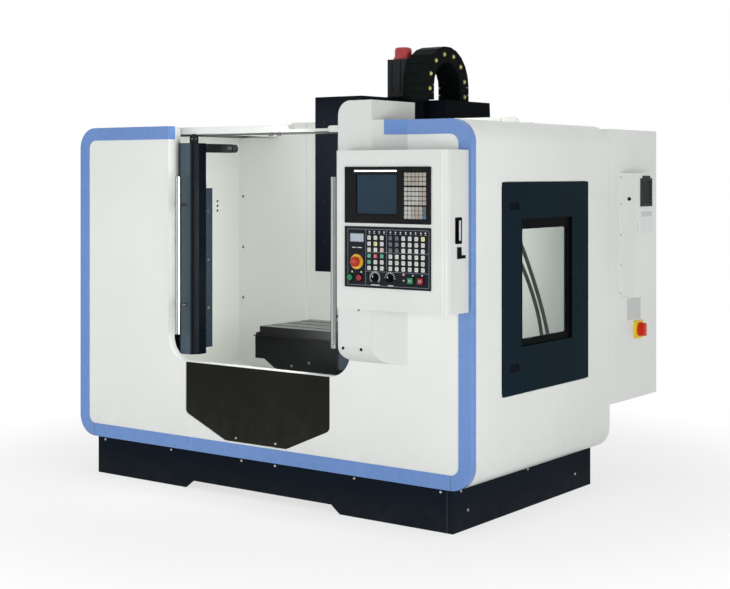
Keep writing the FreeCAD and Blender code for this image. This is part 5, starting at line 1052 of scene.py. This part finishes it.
def draw_rail():
    """Door rail: a deep channel on the left that steps down to a low track, and the tie rod behind."""
    left, right, step = -RAIL_END, RAIL_END, RAIL_STEP
    corner = [(math.cos(math.radians(15 * k)), math.sin(math.radians(15 * k))) for k in range(7)]
    outer, inner = ([(step - 24 + radius * a, 1748 + radius * b) for a, b in corner] for radius in (24, 21))
    face = [(left, RAIL_BOTTOM), (step, RAIL_BOTTOM)] + outer + [(left, RAIL_TOP)]
    end = [(step, RAIL_BOTTOM)] + outer + inner[::-1] + [(step - SHEET, RAIL_BOTTOM)]
    level = on_top(0)
    strokes = [(loft, on_front(back), [(face, out) for out in (0, SHEET)])
               for back in (RAIL_FRONT, RAIL_BACK + SHEET)]
    strokes.append((bar, level, left, step - 24, RAIL_FRONT, RAIL_BACK, RAIL_TOP - SHEET, RAIL_TOP))
    strokes.append((loft, on_front(RAIL_BACK), [(end, out) for out in (0, RAIL_BACK - RAIL_FRONT)]))
    for y in (RAIL_FRONT - SHEET, RAIL_BACK):
        strokes.append((bar, level, step, right, y, y + SHEET, RAIL_BOTTOM, TRACK_TOP))
    for y in (RAIL_FRONT, RAIL_BACK - 12):
        strokes.append((bar, level, left, right, y, y + 12, RAIL_BOTTOM, RAIL_BOTTOM + SHEET))
    for x in (left, right - 34):
        strokes.append((bar, level, x, x + 34, RAIL_FRONT - SHEET, 157, RAIL_BOTTOM - 12, RAIL_BOTTOM))
    make_piece("door_rail", "shell white", "frame", "white_paint", strokes, ["top_rail"])
    strokes = [(bar, level, x - 6, x + 6, RAIL_BACK + SHEET, 160, 1723, TRACK_TOP) for x in RAIL_STOPS]
    strokes.append((turned, on_right(0), 151, 1733, [(5, left), (5, right)], 16))
    make_piece("tie_rod", "rod steel", "frame", "zinc_steel", strokes)


def trim_seams():
    """Hairline gaps where lengths of the edge frame and the plinth meet."""
    strokes = [(bar, on_front(0), x - 0.8, x + 0.8, 191.5, 255.5, SUNK, 0.25) for x in (-1095.0, 1095.0)]
    strokes.append((bar, on_front(PLINTH_FACE), 1060, 1061.6, 1, 190, SUNK, 0.25))
    make_piece("trim_seams", "mark dark", "frame", "blue_paint", strokes)


# ---- camera, light, floor ----

FLOOR_SIZE = 60
FLOOR_DROP = 0.0005      # metres under the feet
FLOOR_NEAR = 1.5         # metres from the middle; from here to FLOOR_FAR the floor turns white
FLOOR_FAR = 2.8
FLOOR_LIFT = 0.7         # share of plain white in the floor near the machine
WHITE = (1.0, 1.0, 1.0, 1.0)
LAMPS = (                # name, place, target, size, power and whether metal mirrors it
    ("front", (-2.4, -5.8, 1.0), (-0.3, -0.2, 0.7), (5.0, 2.0), 93, True),
    ("side", (5.0, -3.1, 0.8), (1.15, -0.4, 0.5), (2.6, 2.0), 113, True),
    ("top", (0, 0.2, 6.0), (0, 0, 1.0), (4.0, 4.0), 40, True),
    ("work light", (-0.05, -0.45, 1.76), (-0.05, 0.2, 1.1), (0.8, 0.3), 8, False),
    ("doorway fill", (0.4, -0.58, 1.2), (-0.8, 0.35, 1.1), (0.9, 0.9), 14, False),
)


def set_camera():
    data = bpy.data.cameras.new("camera")
    data.sensor_width = 36.0
    data.lens = 70.87
    data.shift_y = -0.16477
    data.clip_end = 60.0
    camera = add_object("camera", data)
    camera.location = TO_FRAME @ Vector((4441.2, -5130.0, 1539.0))
    camera.rotation_euler = (math.radians(90), 0, math.radians(36.52))
    bpy.context.scene.camera = camera


def add_lamp(name, place, target, size, power, mirrored):
    data = bpy.data.lights.new(name, "AREA")
    data.shape = "RECTANGLE"
    data.size, data.size_y = size
    data.energy = power
    lamp = add_object(name, data)
    lamp.location = place
    lamp.rotation_euler = (Vector(target) - Vector(place)).to_track_quat("-Z", "Y").to_euler()
    lamp.visible_camera = False
    lamp.visible_glossy = mirrored


def seen_rays(tree):
    """One for rays from the camera and for those seen in metal and glass."""
    path = tree.nodes.new("ShaderNodeLightPath").outputs
    direct = reckon("MAXIMUM", path["Is Camera Ray"], path["Is Glossy Ray"])
    return reckon("MAXIMUM", direct, path["Is Transmission Ray"])


def light_studio():
    world = bpy.data.worlds.new("studio")
    bpy.context.scene.world = world
    world.use_nodes = True
    tree = world.node_tree
    tree.nodes.clear()
    light = node(tree, "ShaderNodeBackground", {"Color": (0.97, 0.99, 1.0, 1.0), "Strength": 0.5})
    backdrop = node(tree, "ShaderNodeBackground", {"Color": WHITE, "Strength": 1.0})
    mixed = node(tree, "ShaderNodeMixShader", {0: seen_rays(tree), 1: light.outputs[0],
                                               2: backdrop.outputs[0]})
    node(tree, "ShaderNodeOutputWorld", {"Surface": mixed.outputs[0]})
    for lamp in LAMPS:
        add_lamp(*lamp)


def lay_floor():
    """Pale floor that keeps the shadow near the machine and runs out into the white backdrop."""
    bpy.ops.mesh.primitive_plane_add(size=FLOOR_SIZE, location=(0, 0, -FLOOR_DROP))
    floor = bpy.context.object
    floor.name = "floor"
    shader, place = new_material("pale floor", 0.1, Base_Color=srgb(250, 250, 250), Roughness=0.8)
    tree = shader.id_data
    reach = node(tree, "ShaderNodeVectorMath", {0: place}, operation="LENGTH").outputs["Value"]
    far = ramp(reach, FLOOR_NEAR, FLOOR_FAR, FLOOR_LIFT, 1.0, True)
    white = node(tree, "ShaderNodeEmission", {"Color": WHITE, "Strength": 1.0})
    mixed = node(tree, "ShaderNodeMixShader", {0: multiply(far, seen_rays(tree)), 1: shader.outputs[0],
                                               2: white.outputs[0]})
    plug(mixed.outputs[0], tree.nodes["Material Output"].inputs["Surface"])
    floor.data.materials.append(FINISH["pale floor"])


for step in (finish_nodes, set_camera, light_studio, lay_floor, hang_hoses, fasten_machine, hang_chain,
             dress_screen, rule_panel, mark_panel, place_keys, dress_controls, dress_cabinet, cap_motor,
             dress_box, square_doors, line_trim, draw_rail, trim_seams):
    step()

bpy.context.scene.view_settings.view_transform = "Standard"
